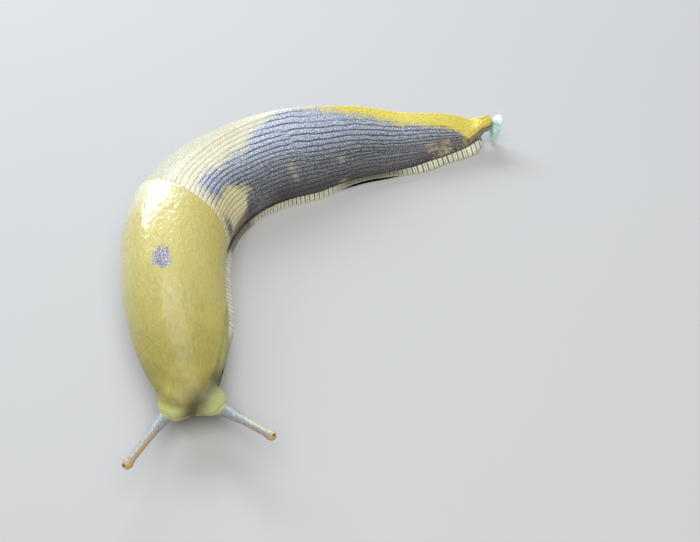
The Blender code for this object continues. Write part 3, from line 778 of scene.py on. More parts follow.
def back_material(colours):
    material, t, shader = new_material("back_skin", coat_roughness=0.25, subsurface=0.1)
    where = t.object_mm()
    fine = t.group("granules", Vector=t.path(), Size=0.68)
    tiny = t.group("granules", Vector=where, Size=0.36)
    lines = t.times(furrow_line(t, t.mask("phase_fine")), t.mask("fine_share"))
    others = t.times(furrow_line(t, t.mask("phase_broad")), t.minus(1.0, t.mask("fine_share")))
    lines = t.times(t.plus(lines, others), t.mask("furrowed"))
    stipple = t.times(t.minus(fine["Height"], 0.5), -0.18)
    clouds = t.times(t.minus(t.noise(where, 0.34, 5.0, 0.62), 0.5), 0.7)
    ragged = t.plus(t.plus(t.mask("dark"), clouds), stipple)
    dark = t.spread(t.plus(ragged, t.times(lines, 0.08)), 0.18, 0.72)
    small = t.group("mottling", Vector=where, Size=2.2, Middle=0.52, Softness=0.14)
    pale = t.mix(t.mask("window"), colours.back_cream, colours.back_yellow)
    pale = t.mix(t.times(small["Mask"], 0.35), pale, colours.back_yellow)
    # Painted shade darkens the cream over the top of the bend.
    pale = t.tint(pale, "lit", 0.85, colours.back_buff)
    pale = t.mix(t.times(fine["Lines"], 0.28), pale, colours.furrow_tan)
    pale = t.mix(t.mask("keel"), pale, colours.keel_yellow)
    # Painted rim light along the top of the keel.
    pale = t.mix(t.mask("crest"), pale, colours.crest_pale)
    pale = t.mix(t.mask("tip"), pale, colours.tail_orange)
    # The green mask runs from the top of the dark markings, bright and blue with painted sky sheen, to the
    # darker green-grey skin low on the flank.
    slate = t.mix(t.mask("green"), colours.back_slate, colours.slate_green)
    # Granule tops are pale, and are whitened further as painted glints where the sky sheen falls.
    pale_slate = t.mix(t.mask("green"), colours.slate_pale, colours.green_pale)
    tops = t.spread(fine["Height"], 0.05, 0.50)
    dots = t.times(tops, t.plus(t.times(tiny["Height"], 0.4), 0.6))
    # Painted sky sheen lightens and blues the top of the dark markings.
    slate = t.tint(slate, "frost", 0.42, colours.slate_frost)
    slate = t.mix(dots, slate, pale_slate)
    slate = t.mix(t.mask("low"), slate, colours.flank_brown)
    fleck = t.plus(t.mask("mottled"), t.times(t.noise(where, 0.42, 5.0, 0.72), 2.0))
    slate = t.mix(t.spread(fleck, 1.55, 1.95, 0.0, 0.75), slate, colours.mottle_tan)
    slate = t.tint(slate, "streak", 0.42, colours.back_yellow)
    colour = t.mix(dark, pale, slate)
    # Painted shade under the horn and on the low flank over the foot at the bend.
    colour = t.mix(t.mask("hollow"), colour, colours.flank_brown)
    line = t.mix(t.mask("window"), colours.furrow_tan, colours.furrow_brown)
    line = t.mix(dark, line, colours.furrow_navy)
    bright = t.times(t.mask("keel"), t.minus(1.0, dark))
    faint = t.minus(1.0, t.times(bright, 0.85))
    kept = t.math("MAXIMUM", t.spread(dark, 0.0, 1.0, 0.5, 0.9), t.times(t.mask("window"), 0.8))
    faint = t.times(faint, kept)
    colour = t.mix(t.times(lines, faint), colour, line)
    t.plug(colour, shader.inputs["Base Color"])
    shader.inputs["Specular IOR Level"].default_value = 0.8
    t.plug(t.spread(t.mask("low"), 0.0, 0.8, 0.4, 0.1), shader.inputs["Coat Weight"])
    wet = t.group("wetness", Vector=where, Wet=0.2, Dry=0.4, Size=1.6)
    t.plug(wet["Roughness"], shader.inputs["Roughness"])
    height = t.plus(fine["Height"], t.times(tiny["Height"], 0.4))
    add_bump(t, shader, t.minus(height, t.times(lines, 0.8)), 0.11)
    return material


def foot_material(colours):
    material, t, shader = new_material("foot_skin", coat=0.5, coat_roughness=0.15, subsurface=0.2)
    where = t.object_mm()
    small = t.group("mottling", Vector=where, Size=1.8, Middle=0.5, Softness=0.15)
    fine = t.group("granules", Vector=where, Size=0.4)
    colour = t.mix(t.times(small["Mask"], 0.4), colours.fringe_cream, colours.fringe_grey)
    # Painted shade on the fringe at the bend and along its thin left stretch from 112 to 143 mm.
    colour = t.tint(colour, "bend", 0.72, colours.fringe_olive)
    colour = t.mix(t.mask("inner"), colour, colours.fringe_olive)
    colour = t.mix(t.mask("plain"), colour, colours.neck_green)
    colour = t.mix(t.mask("groove"), colour, colours.fringe_groove)
    colour = t.mix(t.mask("sole"), colour, colours.sole)
    t.plug(colour, shader.inputs["Base Color"])
    wet = t.group("wetness", Vector=where, Wet=0.15, Dry=0.35, Size=1.2)
    t.plug(wet["Roughness"], shader.inputs["Roughness"])
    add_bump(t, shader, fine["Height"], 0.05)
    return material


def head_material(colours):
    material, t, shader = new_material("head_skin", coat_roughness=0.25, subsurface=0.15, coat_ior=1.8)
    where, path = t.object_mm(), t.path()
    pattern = t.group("mantle_pattern", Where=where, Path=path, Spot=0.0)
    fine = t.group("granules", Vector=where, Size=0.5)
    beads = t.group("granules", Vector=where, Size=0.42)
    small = t.group("mottling", Vector=where, Size=1.6, Middle=0.5, Softness=0.15)
    skin = t.mix(t.times(small["Mask"], 0.4), colours.neck_green, colours.mantle_olive)
    skin = t.mix(t.mask("covered"), skin, mantle_colour(t, colours, pattern))
    skin = t.mix(t.mask("swelling"), skin, colours.head_green)
    skin = t.mix(t.mask("warm"), skin, colours.head_amber)
    skin = t.mix(t.mask("shade"), skin, colours.head_shade)
    stalk = t.mix(t.times(beads["Height"], 0.75), colours.stalk_grey, colours.stalk_pale)
    # Painted lime glow of light through the tops of the stalks.
    stalk = t.mix(t.mask("lime"), stalk, colours.head_green)
    stalk = t.mix(t.mask("amber"), stalk, colours.stalk_amber)
    t.plug(t.mix(t.mask("stalk"), skin, stalk), shader.inputs["Base Color"])
    wet = t.group("wetness", Vector=where, Wet=0.3, Dry=0.5, Size=1.6)
    rough = t.plus(wet["Roughness"], t.times(t.mask("covered"), 0.2))
    rough = t.plus(rough, t.times(t.mask("shade"), 0.3))
    t.plug(rough, shader.inputs["Roughness"])
    dull = t.math("MAXIMUM", t.math("MAXIMUM", t.mask("stalk"), t.mask("side")), t.mask("front"))
    dull = t.plus(dull, t.times(t.mask("shade"), 0.2), True)
    t.plug(t.spread(dull, 0.0, 1.0, 1.0, 0.15), shader.inputs["Coat Weight"])
    bare = t.minus(1.0, t.mask("covered"))
    height = t.plus(t.times(pattern["Height"], t.mask("covered")),
                    t.times(fine["Height"], bare))
    add_bump(t, shader, height, 0.06)
    return material


def eye_material(colours):
    material, t, shader = new_material("eye", coat=1.0, coat_roughness=0.05)
    where = t.object_mm()
    colour = t.mix(t.noise(where, 3.0), colours.eye_black, colours.eye_brown)
    t.plug(colour, shader.inputs["Base Color"])
    t.plug(t.spread(t.noise(where, 2.0), 0.3, 0.7, 0.08, 0.18), shader.inputs["Roughness"])
    return material


def plug_material(colours):
    material, t, shader = new_material("mucus_plug", coat=0.8, coat_roughness=0.08, subsurface=0.3)
    where = t.object_mm()
    streaks = t.noise(t.stretch(where, (1.4, 1.4, 0.3)), 1.0, 3.0, 0.6)
    colour = t.mix(t.spread(streaks, 0.44, 0.58), colours.plug_mint, colours.plug_green)
    threads = t.spread(t.noise(t.stretch(where, (1.5, 1.5, 0.35)), 1.2, 3.0), 0.60, 0.68)
    colour = t.mix(t.plus(t.mask("white"), threads, True), colour, colours.plug_white)
    colour = t.mix(t.mask("ring"), colour, colours.plug_green)
    t.plug(colour, shader.inputs["Base Color"])
    wet = t.group("wetness", Vector=where, Wet=0.08, Dry=0.22, Size=0.9)
    t.plug(wet["Roughness"], shader.inputs["Roughness"])
    add_bump(t, shader, t.noise(where, 1.8, 3.0), 0.1)
    return material


def floor_material(colours):
    material, t, shader = new_material("stage_floor")
    where = t.object_mm()
    tone = t.spread(t.noise(where, 0.01, 2.0), 0.3, 0.7, 0.0, 0.25)
    colour = t.mix(tone, colours.floor, [c * 0.97 for c in colours.floor])
    t.plug(colour, shader.inputs["Base Color"])
    shader.inputs["Roughness"].default_value = 0.7
    return material


def back_point(turn, share):
    """Row, distance and angle of the back's skin, and how far it has closed under the body."""
    u = np.interp(share, BACK_SHARES, BACK_ROWS)
    around = np.abs(turn) / math.pi
    angle = np.sign(turn) * TUCK * np.minimum(around / BACK_TURN, 1.0)
    return u, slant(u, angle), angle, np.clip((around - BACK_TURN) / BACK_CLOSE, 0.0, 1.0)


def back_inset(u):
    """How far the back lies inside the smooth outline, deeper under the mantle."""
    exposed = rise(u, 59.3, 3.2)
    open_back = BACK_INSET * fall(u, 104.0, 20.0) + 0.15 * fall(u, 67.0, 5.0)
    return blend(TRUNK_INSET, open_back, exposed)


def make_back(sizes, colours):
    bm, turn, share = ball(*BACK_MESH)
    u, s, angle, under = back_point(turn, share)
    long_depth, cross_depth, phases, mask = furrows(s, angle)
    exposed = rise(u, 58.0, 3.0)
    fade_low = 1.0 - 0.45 * rise(np.abs(angle), 84.0, 20.0)
    fade_keel = blend(1.0, 0.2 + 0.8 * rise(np.abs(angle), 10.0, 16.0), rise(s, 100.0, 15.0))
    fade_tip = 1.0 - rise(s, 154.0, 8.0)
    strength = exposed * fade_low * fade_keel * fade_tip
    field = dark_field(s, angle)
    strength = strength * blend(0.38, 1.0, ease((angle + 25.0) / 50.0 + ease(field / 4.0 + 0.5)))
    depth = strength * (sizes.furrow_depth * long_depth + sizes.cross_depth * cross_depth)
    depth = depth * blend(0.45, 1.0, ease(field / 6.0 + 0.5))
    crown = -0.08 * exposed * fade_tip
    lumps = 0.10 * exposed * noise(s / 4.0, angle / 12.0, seed=21)
    ragged = 0.05 * exposed * noise(s / 0.9, angle / 3.0, seed=22)
    inset = back_inset(u) + depth + crown + lumps + ragged
    floor = blend(GROOVE_Z, 4.9, rise(s, 162.3, 2.2))
    offset, z = flank(s, angle, inset, floor)
    z = np.maximum(z, floor)
    offset = offset * (1.0 - under)
    # The underside is drawn in a little so that it closes inside the foot.
    z = z - 0.35 * ease(under * 3.0)
    # Round the two ends off.
    close = np.sqrt(np.clip(1.0 - ((s - BACK_TIP) / (LENGTH - BACK_TIP)) ** 2, 0.0, 1.0))
    close = np.where(s > BACK_TIP, close, 1.0) * np.where(share < BACK_SHARES[1], 0.0, 1.0)
    middle = np.where(s > HORN_FROM, smooth_column(HORN, s, 1), 8.0)
    offset = offset * close
    z = middle + (z - middle) * close
    # The pore is a slot in the end of the horn between two lips.
    pore_s, pore_long, pore_wide, pore_deep = PORE
    far = np.hypot((s - pore_s - 0.3) / pore_long, offset / pore_wide)
    top = (z > middle) & (s > 158.0)
    z = z - np.where(top, pore_deep * fall(far, 1.0, 0.55), 0.0)
    z = z + np.where(top, 0.25 * peak(far, 1.15, 0.3), 0.0)
    move_vertices(bm, at(s, offset, z))
    piece = new_piece("back_skin", bm, back_material(colours),
                      ("trunk_rear", "back_front", "back_rear", "tail"))
    set_path(piece, s, angle * DEGREE)
    back_masks(piece, s, angle, field)
    set_masks(piece, furrowed=np.clip(strength, 0.0, 1.0), phase_fine=phases[0], phase_broad=phases[1],
              fine_share=mask)


def back_masks(piece, s, angle, field):
    """Where each of the back's colours lies."""
    around = np.abs(angle)
    streaks = 0.0 * s
    for streak_s, streak_angle, along, across in STREAKS:
        far = np.hypot((s - streak_s) / along, (angle - streak_angle) * DEGREE / across)
        streaks = np.maximum(streaks, np.exp(-far ** 2) * ease(noise(s / 1.3, angle / 5.0, seed=31) + 0.9))
    keel_band = rise(s, 104.0, 18.0) * (1.0 - rise(around, 30.0, 15.0))
    # Painted shade under the end of the horn, and on the low flank where it overhangs the foot at the bend.
    hollow = 0.8 * rise(s, 156.5, 2.0) * rise(around, 103.0, 8.0) * fall(s, 162.0, 2.0)
    fold = 0.85 * ease((angle - 94.0 + 0.6 * (s - 68.0)) / 8.0) * rise(s, 60.0, 5.0) * fall(s, 86.0, 6.0)
    # Painted sky sheen fades down the flank and toward the tail; deep is where it has gone.
    deep = 0.97 * rise(around, 12.0, 70.0) + 0.28 * rise(s, 86.0, 45.0)
    set_masks(
        piece,
        dark=np.clip(0.5 + field / 6.5, 0.0, 1.0),
        streak=streaks,
        keel=np.maximum(keel_band, rise(s, 155.0, 3.0)),
        tip=rise(s, 155.0, 4.0) * rise(around, 32.0, 42.0) * 0.9,
        hollow=np.maximum(hollow, fold),
        low=rise(around, 66.0, 34.0) * 0.95 * rise(s, 83.0, 14.0),
        green=np.clip(deep, 0.0, 1.0),
        # Painted rim light along the top of the keel.
        crest=0.65 * peak(angle, -9.0, 6.5) * rise(s, 96.0, 8.0) * fall(s, 154.0, 6.0),
        # Painted shade over the top and outer side of the bend.
        lit=fall(angle, 18.0, 24.0) * fall(s, 102.0, 16.0),
        # Painted sky sheen on the top of the dark markings, fading down the flank and toward the tail.
        frost=fall(around, 60.0, 40.0) * fall(s, 154.0, 56.0),
        window=rise(angle, 20.0, 40.0),
        mottled=rise(s, 138.0, 12.0) * rise(around, 30.0, 30.0) * 0.8)


# Share of the mantle's reach down the left flank: row and share.
MARGIN_LEFT = np.array((
    (0.0, 0.40), (5.2, 0.50), (9.8, 0.72), (14.5, 0.75), (25.0, 0.765), (33.0, 0.89), (41.0, 0.94),
    (60.0, 1.0),
))


def margin_share(u, left):
    """Share of the mantle's full reach down the flank; the left front is drawn up off the neck."""
    return np.where(left, np.interp(u, *MARGIN_LEFT.T), 1.0)


def mantle_place(x, y):
    """Row, distance, angle and share of the way out for a point of a square from -1 to 1."""
    # The square becomes a disc, and the disc the outline of the mantle.
    disc_x = x * np.sqrt(1.0 - y * y / 2.0)
    disc_y = y * np.sqrt(1.0 - x * x / 2.0)
    out = np.hypot(disc_x, disc_y)
    c = disc_y / np.maximum(out, 1e-9)
    side = disc_x / np.maximum(out, 1e-9)
    power = np.where(c < 0.0, MANTLE_POWERS[0], MANTLE_POWERS[1])
    reach = (np.abs(c) ** power + np.abs(side) ** power) ** (-1.0 / power)
    u = MANTLE_MIDDLE + MANTLE_HALF * reach * c * out
    edge_u = MANTLE_MIDDLE + MANTLE_HALF * reach * c
    angle = MANTLE_MARGIN * reach * side * out * margin_share(edge_u, side > 0.0)
    return u, slant(u, angle), angle, out


def mantle_relief(sizes, s, arc, out):
    """Height of the mantle's swells, wrinkles and long granules over its smooth outline."""
    swell = 0.14 * noise(s / 9.0, arc / 5.0, seed=41) + 0.05 * noise(s / 5.0, arc / 1.6, seed=42)
    rearward = rise(s, 25.0, 20.0)
    wrinkle = sizes.mantle_wrinkle * noise(s / 1.5, arc / 0.48, seed=43) * blend(0.4, 1.0, rearward)
    grain = sizes.mantle_grain * noise(s / 1.0, arc / 0.46, seed=44) * blend(0.3, 1.0, rearward)
    return (swell + wrinkle + grain) * (1.0 - rise(out, 0.9, 0.1))


def mantle_masks(piece, s, angle, out, pore):
    spot_s, spot_angle, spot_long, spot_wide = SPOT
    far = np.hypot((s - spot_s) / spot_long, (angle - spot_angle) / spot_wide)
    set_path(piece, s, angle * DEGREE)
    set_masks(
        piece,
        front=fall(s, 50.0, 46.0),
        side=rise(angle, 25.0, 50.0),
        # crown: painted shade over the middle of the mantle's front.
        crown=0.3 * fall(s, 46.0, 30.0) * peak(angle, 0.0, 38.0),
        spot=np.clip(1.5 - far, 0.0, 1.0) * 0.85,
        rear=rise(s, 52.0, 10.0) * fall(angle, 30.0, 60.0),
        # Painted shade at the rolled free margin and in the breathing pore.
        rim=np.clip(rise(out, 0.985, 0.015) * 0.45 + 0.5 * pore, 0.0, 1.0))


def make_mantle(sizes, colours):
    """A sheet wrapped over the front half, thin at its free edge, with the breathing pore."""
    bm = bmesh.new()
    bmesh.ops.create_grid(bm, x_segments=MANTLE_MESH[0], y_segments=MANTLE_MESH[1], size=1.0)
    top_count = len(bm.verts)
    bmesh.ops.extrude_face_region(bm, geom=list(bm.faces), use_keep_orig=True)
    co = coordinates(bm)
    lower = np.arange(len(co)) >= top_count
    row = blend(SHEET_START, 1.0, (co[:, 1] + 1.0) / 2.0)
    _, s, angle, out = mantle_place(co[:, 0], row)
    thick = MANTLE_THICK * (1.0 - 0.5 * rise(out, 0.86, 0.14))
    rolled = np.sqrt(np.clip(1.0 - ((out - 0.965) / 0.035) ** 2, 0.0, 1.0))
    rolled = np.where(out > 0.965, rolled, 1.0)
    # The front edge dips under the head's skin, which carries the same surface on.
    sunk = 0.35 * (1.0 - rise(row, SHEET_START, 0.14))
    # The margin waves a little where it lies free along the flanks.
    margin_wave = 0.25 * noise(s / 6.0, np.sign(angle) * 3.0, seed=45) * rise(out, 0.8, 0.2)
    pore = np.exp(-(((s - BREATH_S) / 1.5) ** 2 + ((angle - BREATH_ANGLE) * DEGREE / 1.9) ** 2))
    raised = mantle_relief(sizes, s, angle * DEGREE, out)
    inset_top = thick / 2.0 * (1.0 - rolled) - raised + margin_wave + 1.1 * pore + sunk
    inset_low = thick / 2.0 * (1.0 + rolled) + margin_wave + 0.1 * pore + sunk
    inset = np.where(lower, np.maximum(inset_low, inset_top + 0.05), inset_top)
    offset, z = flank(s, angle, inset)
    move_vertices(bm, at(s, offset, z))
    piece = new_piece("mantle_shield", bm, mantle_material(colours), ("mantle",))
    mantle_masks(piece, s, angle, out, pore)


def foot_half(s, left):
    """Half width of the foot; on the outer side of the bend it stays under the body."""
    to_nose = np.clip((s - FOOT_START) / FOOT_NOSE, 0.0, 1.0)
    to_heel = np.clip((FOOT_END - s) / FOOT_HEEL, 0.0, 1.0)
    rounding = np.sqrt(1.0 - (1.0 - to_nose) ** 2) * np.sqrt(1.0 - (1.0 - to_heel) ** 2)
    inner = smooth_column(SKIRT, s, 2) * rounding
    full = smooth_column(STATIONS, s, 3) * rounding
    body = smooth_column(STATIONS, s, 1)
    outer = body - 0.3 - 1.8 * fall(s, 30.0, 22.0) + 0.5 * rise(s, 60.0, 40.0) * (full - body)
    return np.where(left, inner, np.minimum(full, outer))


def groove_half(s, left):
    """Half width of the body where it meets the foot."""
    width, _, _, _, flare = section(s, left)
    return width * TUCK_WIDTH + flare


def make_foot(sizes, colours):
    """The foot: a flat sole and a fringe of paired ribs, a deep groove after each pair."""
    bm, turn, share = ball(*FOOT_MESH)
    s = np.interp(share, (0.0, 0.006, 0.994, 1.0), (FOOT_START, FOOT_START + 0.25, FOOT_END - 0.2, FOOT_END))
    q = np.abs(turn) / math.pi
    left = turn >= 0.0
    side = np.where(left, 1.0, -1.0)
    tilt = -1.6 * rise(s, 120.0, 30.0)
    along = s + tilt * (q - 0.3) + 0.30 * noise(s / 4.0, side * 4.0, seed=51)
    phase = along / sizes.rib_pitch
    rib = np.floor(phase)
    aside = np.abs(phase - rib - 0.5) * 2.0
    halves = np.abs(np.mod(phase * 2.0, 1.0) - 0.5) * 2.0
    chance = lottery(rib * 78.233)
    groove = peak(aside, 1.0, 0.24) * (0.7 + 0.3 * chance)
    between = peak(halves, 1.0, 0.34) * (0.25 + 0.4 * np.mod(chance * 7.0, 1.0))
    groove = np.maximum(groove, between)
    edge = foot_half(s, left)
    neck = groove_half(s, left) - 0.1 - 0.7 * fall(s, 19.0, 7.0)
    neck = np.where(left, neck, np.minimum(neck, edge + 0.6))
    neck = neck * np.clip((s - FOOT_START) / 1.5, 0.0, 1.0) ** 0.5
    edge = edge + 0.15 * noise(s / 4.0, side * 9.0, seed=52)
    fringe = edge - neck
    bulge = 0.35 * peak(q, 0.26, 0.09)
    across = np.interp(q, FOOT_TURNS, FOOT_SHARES)
    z = np.interp(q, FOOT_TURNS, FOOT_HEIGHTS)
    ribbed = rise(q, 0.16, 0.05) * (1.0 - rise(q, 0.66, 0.08))
    ribbed = ribbed * np.where(left, rise(s, 24.0, 7.0), rise(s, 12.0, 7.0))
    cut = sizes.rib_depth * groove * ribbed
    offset = np.where(across < 0.0, neck * (1.0 + across), neck + fringe * across) - 0.8 * cut
    offset = offset + bulge * rise(s, 16.0, 6.0)
    z = z - 0.5 * cut * ease(z / 1.2)
    ends = np.where((share < 0.003) | (share > 0.997), 0.0, 1.0)
    offset = np.maximum(offset, 0.0) * side * ends
    low_ends = np.minimum(rise(s, FOOT_START, 5.0), fall(s, FOOT_END, 1.6))
    z = z * blend(0.45, 1.0, low_ends)
    move_vertices(bm, at(s, offset, z))
    piece = new_piece("foot_fringe", bm, foot_material(colours),
                      ("foot_front", "foot_middle", "foot_rear", "foot_tail"))
    # Painted shade on the left fringe where it runs thin along the rear half.
    thin = 0.5 * rise(s, 112.0, 7.0) * fall(s, 143.0, 8.0)
    set_masks(
        piece,
        groove=np.clip(groove * ribbed * 1.15, 0.0, 1.0),
        inner=(1.0 - rise(q, 0.19, 0.05)) * blend(0.25, 1.0, rise(s, 52.0, 10.0)),
        sole=rise(q, 0.70, 0.06),
        plain=np.where(left, 1.0 - rise(s, 23.0, 6.0), 1.0 - rise(s, 12.0, 6.0)),
        # bend: painted shade on the fringe.
        bend=np.maximum(rise(s, 57.0, 5.0) * fall(s, 83.0, 6.0), np.where(left, thin, 0.0)))


def stalk_radius(share):
    root, middle, neck, knob = STALK_RADII
    lower = blend(root, middle, ease(share * 2.0))
    tapered = np.where(share < 0.5, lower, blend(middle, neck, share * 2.0 - 1.0))
    return tapered + (knob - neck) * rise(share, 0.80, 0.15)


def add_ball(bm, centre, radii, sides=40):
    matrix = Matrix.Translation(place(np.array(centre))) @ Matrix.Diagonal((*(r * MM for r in radii), 1.0))
    bmesh.ops.create_uvsphere(bm, u_segments=sides, v_segments=sides // 2, radius=1.0, matrix=matrix)


def add_closed(bm, part, points):
    """Move the closed part's vertices to the points, face it outward and add it to bm."""
    move_vertices(part, points)
    if part.calc_volume(signed=True) < 0.0:
        bmesh.ops.reverse_faces(part, faces=part.faces)
    mesh = bpy.data.meshes.new("part")
    part.to_mesh(mesh)
    part.free()
    bm.from_mesh(mesh)
    bpy.data.meshes.remove(mesh)


def add_rod(bm, root, tip, radius_at):
    """A closed rod along a line; radius_at gives its radius for each share of the length."""
    rod, turn, share = ball(*ROD_MESH)
    axis = (tip - root) / np.linalg.norm(tip - root)
    side = np.cross(axis, (0.0, 0.0, 1.0))
    side = side / np.linalg.norm(side)
    up = np.cross(side, axis)
    ends = np.where((share < 1e-6) | (share > 1.0 - 1e-6), 0.0, 1.0)
    outward = np.cos(turn)[:, None] * side + np.sin(turn)[:, None] * up
    add_closed(bm, rod, root + (tip - root) * share[:, None] + (radius_at(share) * ends)[:, None] * outward)


def neck_inset(s, angle):
    """Depth of the neck under the mantle; the flank below the mantle's left margin swells out to it."""
    margin = MANTLE_MARGIN * margin_share(s, angle > 0.0)
    bare = np.where(angle > 0.0, ease((angle - margin + 2.0) / 8.0) * rise(s, 7.0, 5.0), 0.0)
    covered = blend(0.9, TRUNK_INSET, rise(s, 20.0, 8.0))
    return blend(covered, 0.15, bare)


def chin_floor(s):
    return GROOVE_Z + CHIN_RISE * fall(s, CHIN_START, 6.0)


def add_neck(bm):
    """The front of the body under the mantle, rounded off at the snout."""
    core, turn, share = ball(*NECK_MESH)
    s = blend(2.4, NECK_JOIN, share)
    around = np.abs(turn) / math.pi
    angle = np.sign(turn) * TUCK * np.minimum(around / NECK_TURN, 1.0)
    under = np.clip((around - NECK_TURN) / NECK_CLOSE, 0.0, 1.0)
    floor = chin_floor(s)
    offset, z = flank(s, angle, neck_inset(s, angle), floor)
    z = np.maximum(z, floor) - 0.3 * ease(under * 3.0)
    offset = offset * (1.0 - under)
    close = np.sqrt(np.clip(1.0 - ((6.0 - s) / 3.6) ** 2, 0.0, 1.0))
    close = np.where(s < 6.0, close, 1.0) * np.where(share > 0.997, 0.0, 1.0)
    add_closed(bm, core, at(s, offset * close, SNOUT_Z + (z - SNOUT_Z) * close))


def front_reach(u):
    """Share of the mantle's full angle that its rounded front margin reaches at row u."""
    power = MANTLE_POWERS[0]
    along = np.abs(u - MANTLE_MIDDLE) / MANTLE_HALF
    return np.clip(1.0 - along ** power, 0.0, 1.0) ** (1.0 / power)


def mantle_out(s, angle):
    """Share of the way out to the margin of the mantle's front, over 1 past it."""
    power = MANTLE_POWERS[0]
    along = np.abs(s - MANTLE_MIDDLE) / MANTLE_HALF
    reach = MANTLE_MARGIN * np.maximum(margin_share(s, angle > 0.0), 0.05)
    return (along ** power + (np.abs(angle) / reach) ** power) ** (1.0 / power)


def add_mantle_front(bm):
    """A solid in the place of the front of the mantle, to blend with the head."""
    cap, turn, share = ball(*FRONT_MESH)
    u = blend(MANTLE_FRONT + 0.05, FRONT_END, share)
    around = np.abs(turn) / math.pi
    left = turn > 0.0
    out = np.where(around < 0.5, around * 2.0, 2.0 - around * 2.0)
    angle = np.where(left, 1.0, -1.0) * MANTLE_MARGIN * front_reach(u) * margin_share(u, left) * out
    inset = np.where(around < 0.5, front_inset(u), 3.0)
    offset, z = flank(u, angle, inset)
    add_closed(bm, cap, at(u, offset, z))


def front_inset(s):
    """The blended front of the mantle thins toward its margin and sinks under the sheet behind it."""
    return 0.9 * rise(s, 17.0, 7.0) + 1.3 * fall(s, 6.0, 6.0)


def smooth_least(a, b, width):
    share = np.clip(0.5 + 0.5 * (b - a) / width, 0.0, 1.0)
    return blend(b, a, share) - width * share * (1.0 - share)


def spine_place(points):
    """Distance along the spine and offset to the left of points near the front half."""
    start = np.array(SNOUT)
    h = float(heading(0.0))
    s = (points[:, :2] - start) @ np.array((math.cos(h), math.sin(h)))
    for _ in range(5):
        centre = at(s, 0.0 * s, 0.0 * s)[:, :2]
        h = heading(np.clip(s, 0.0, LENGTH))
        s = s + (points[:, 0] - centre[:, 0]) * np.cos(h) + (points[:, 1] - centre[:, 1]) * np.sin(h)
    away = points[:, :2] - at(s, 0.0 * s, 0.0 * s)[:, :2]
    h = heading(np.clip(s, 0.0, LENGTH))
    return s, away[:, 0] * np.sin(h) - away[:, 1] * np.cos(h)


def section_polar(s, offset, z, floor):
    """Angle of points round the body's section, their radius in it and the radius of the section."""
    left = offset > 0.0
    width, height, middle, _, flare = section(s, left)
    lower = (middle - floor) / TUCK_DEPTH
    tall = np.where(z > middle, height - middle, lower)
    angle = np.degrees(np.arctan2(np.abs(offset) / width, (z - middle) / tall))
    aside = np.abs(offset) - flare * rise(angle, FLARE_FROM, TUCK - FLARE_FROM)
    reach = np.hypot(aside / width, (z - middle) / tall)
    slope = np.hypot(aside / width ** 2, (z - middle) / tall ** 2) / np.maximum(reach, 1e-6)
    return np.where(left, angle, -angle), (reach - 1.0) / np.maximum(slope, 1e-6)


def ball_distance(points, centre, radii):
    """Distance to an ellipsoid, exact for a ball and close to the surface of others."""
    away = (points - centre) / radii
    reach = np.linalg.norm(away, axis=1)
    slope = np.linalg.norm(away / radii, axis=1) / np.maximum(reach, 1e-6)
    return (reach - 1.0) / np.maximum(slope, 1e-6)


def along_line(points, root, tip):
    """Millimetres along a line and away from it, and the length of the line."""
    length = float(np.linalg.norm(tip - root))
    axis = (tip - root) / length
    distance = (points - root) @ axis
    away = np.linalg.norm(points - root - distance[:, None] * axis, axis=1)
    return distance, away, length


def beyond_ends(distance, length):
    return np.maximum(distance - length, 0.0) + np.maximum(-distance, 0.0)


def line_distance(points, line):
    """Distance to a bent line."""
    least = np.full(len(points), np.inf)
    for root, tip in zip(line[:-1], line[1:]):
        distance, away, length = along_line(points, root, tip)
        least = np.minimum(least, np.hypot(away, beyond_ends(distance, length)))
    return least


def head_distance(points):
    """Distance to the blended skin of the head, below 0 inside it."""
    s, offset = spine_place(points)
    z = points[:, 2]
    floor = chin_floor(s)
    angle, outside = section_polar(s, offset, z, floor)
    neck = outside + neck_inset(s, angle)
    neck = -smooth_least(-neck, s - 2.4, 2.5)
    neck = -smooth_least(-neck, z - floor + 0.3, 0.6)
    beyond = (mantle_out(s, angle) - 1.0) * 20.0
    mantle = -smooth_least(-(outside + front_inset(s)), -beyond, 1.4)
    mantle = -smooth_least(-mantle, s - 1.0, 2.2)
    body = smooth_least(neck, mantle, blend(1.8, 0.5, rise(s, 7.0, 8.0)))
    swellings = ball_distance(points, BRIDGE, BRIDGE_RADII)
    for x, y, height, radius in BULGES.values():
        swellings = smooth_least(swellings, ball_distance(points, (x, y, height), (radius,) * 3), 1.6)
    body = smooth_least(body, swellings, 2.2)
    for centre, radii in LIPS.values():
        body = smooth_least(body, ball_distance(points, centre, radii), 0.35)
    for root, tip in FEELERS.values():
        distance, away, length = along_line(points, root, tip)
        radius = FEELER_RADIUS * (1.05 + 0.45 * ease(0.7 - distance / length))
        body = smooth_least(body, np.hypot(away, beyond_ends(distance, length)) - radius, 0.5)
    for root, tip in STALKS.values():
        distance, away, length = along_line(points, root, tip)
        radius = stalk_radius(np.clip(distance / length, 0.0, 1.0))
        stalk = np.hypot(away, np.maximum(-distance, 0.0)) - radius
        stalk = -smooth_least(-stalk, length - distance, STALK_BLUNT)
        body = smooth_least(body, stalk, 0.25)
    return body


def pull_to_skin(points):
    """Points moved on to the blended skin of the head, down its slope."""
    step = 0.02
    for _ in range(7):
        here = head_distance(points)
        slope = np.stack([(head_distance(points + step * axis) - here) / step for axis in np.eye(3)], axis=1)
        size = np.maximum((slope ** 2).sum(axis=1), 0.2)
        move = -(here / size)[:, None] * slope
        length = np.linalg.norm(move, axis=1)
        points = points + move * np.minimum(1.0, 0.5 / np.maximum(length, 1e-9))[:, None]
    return points


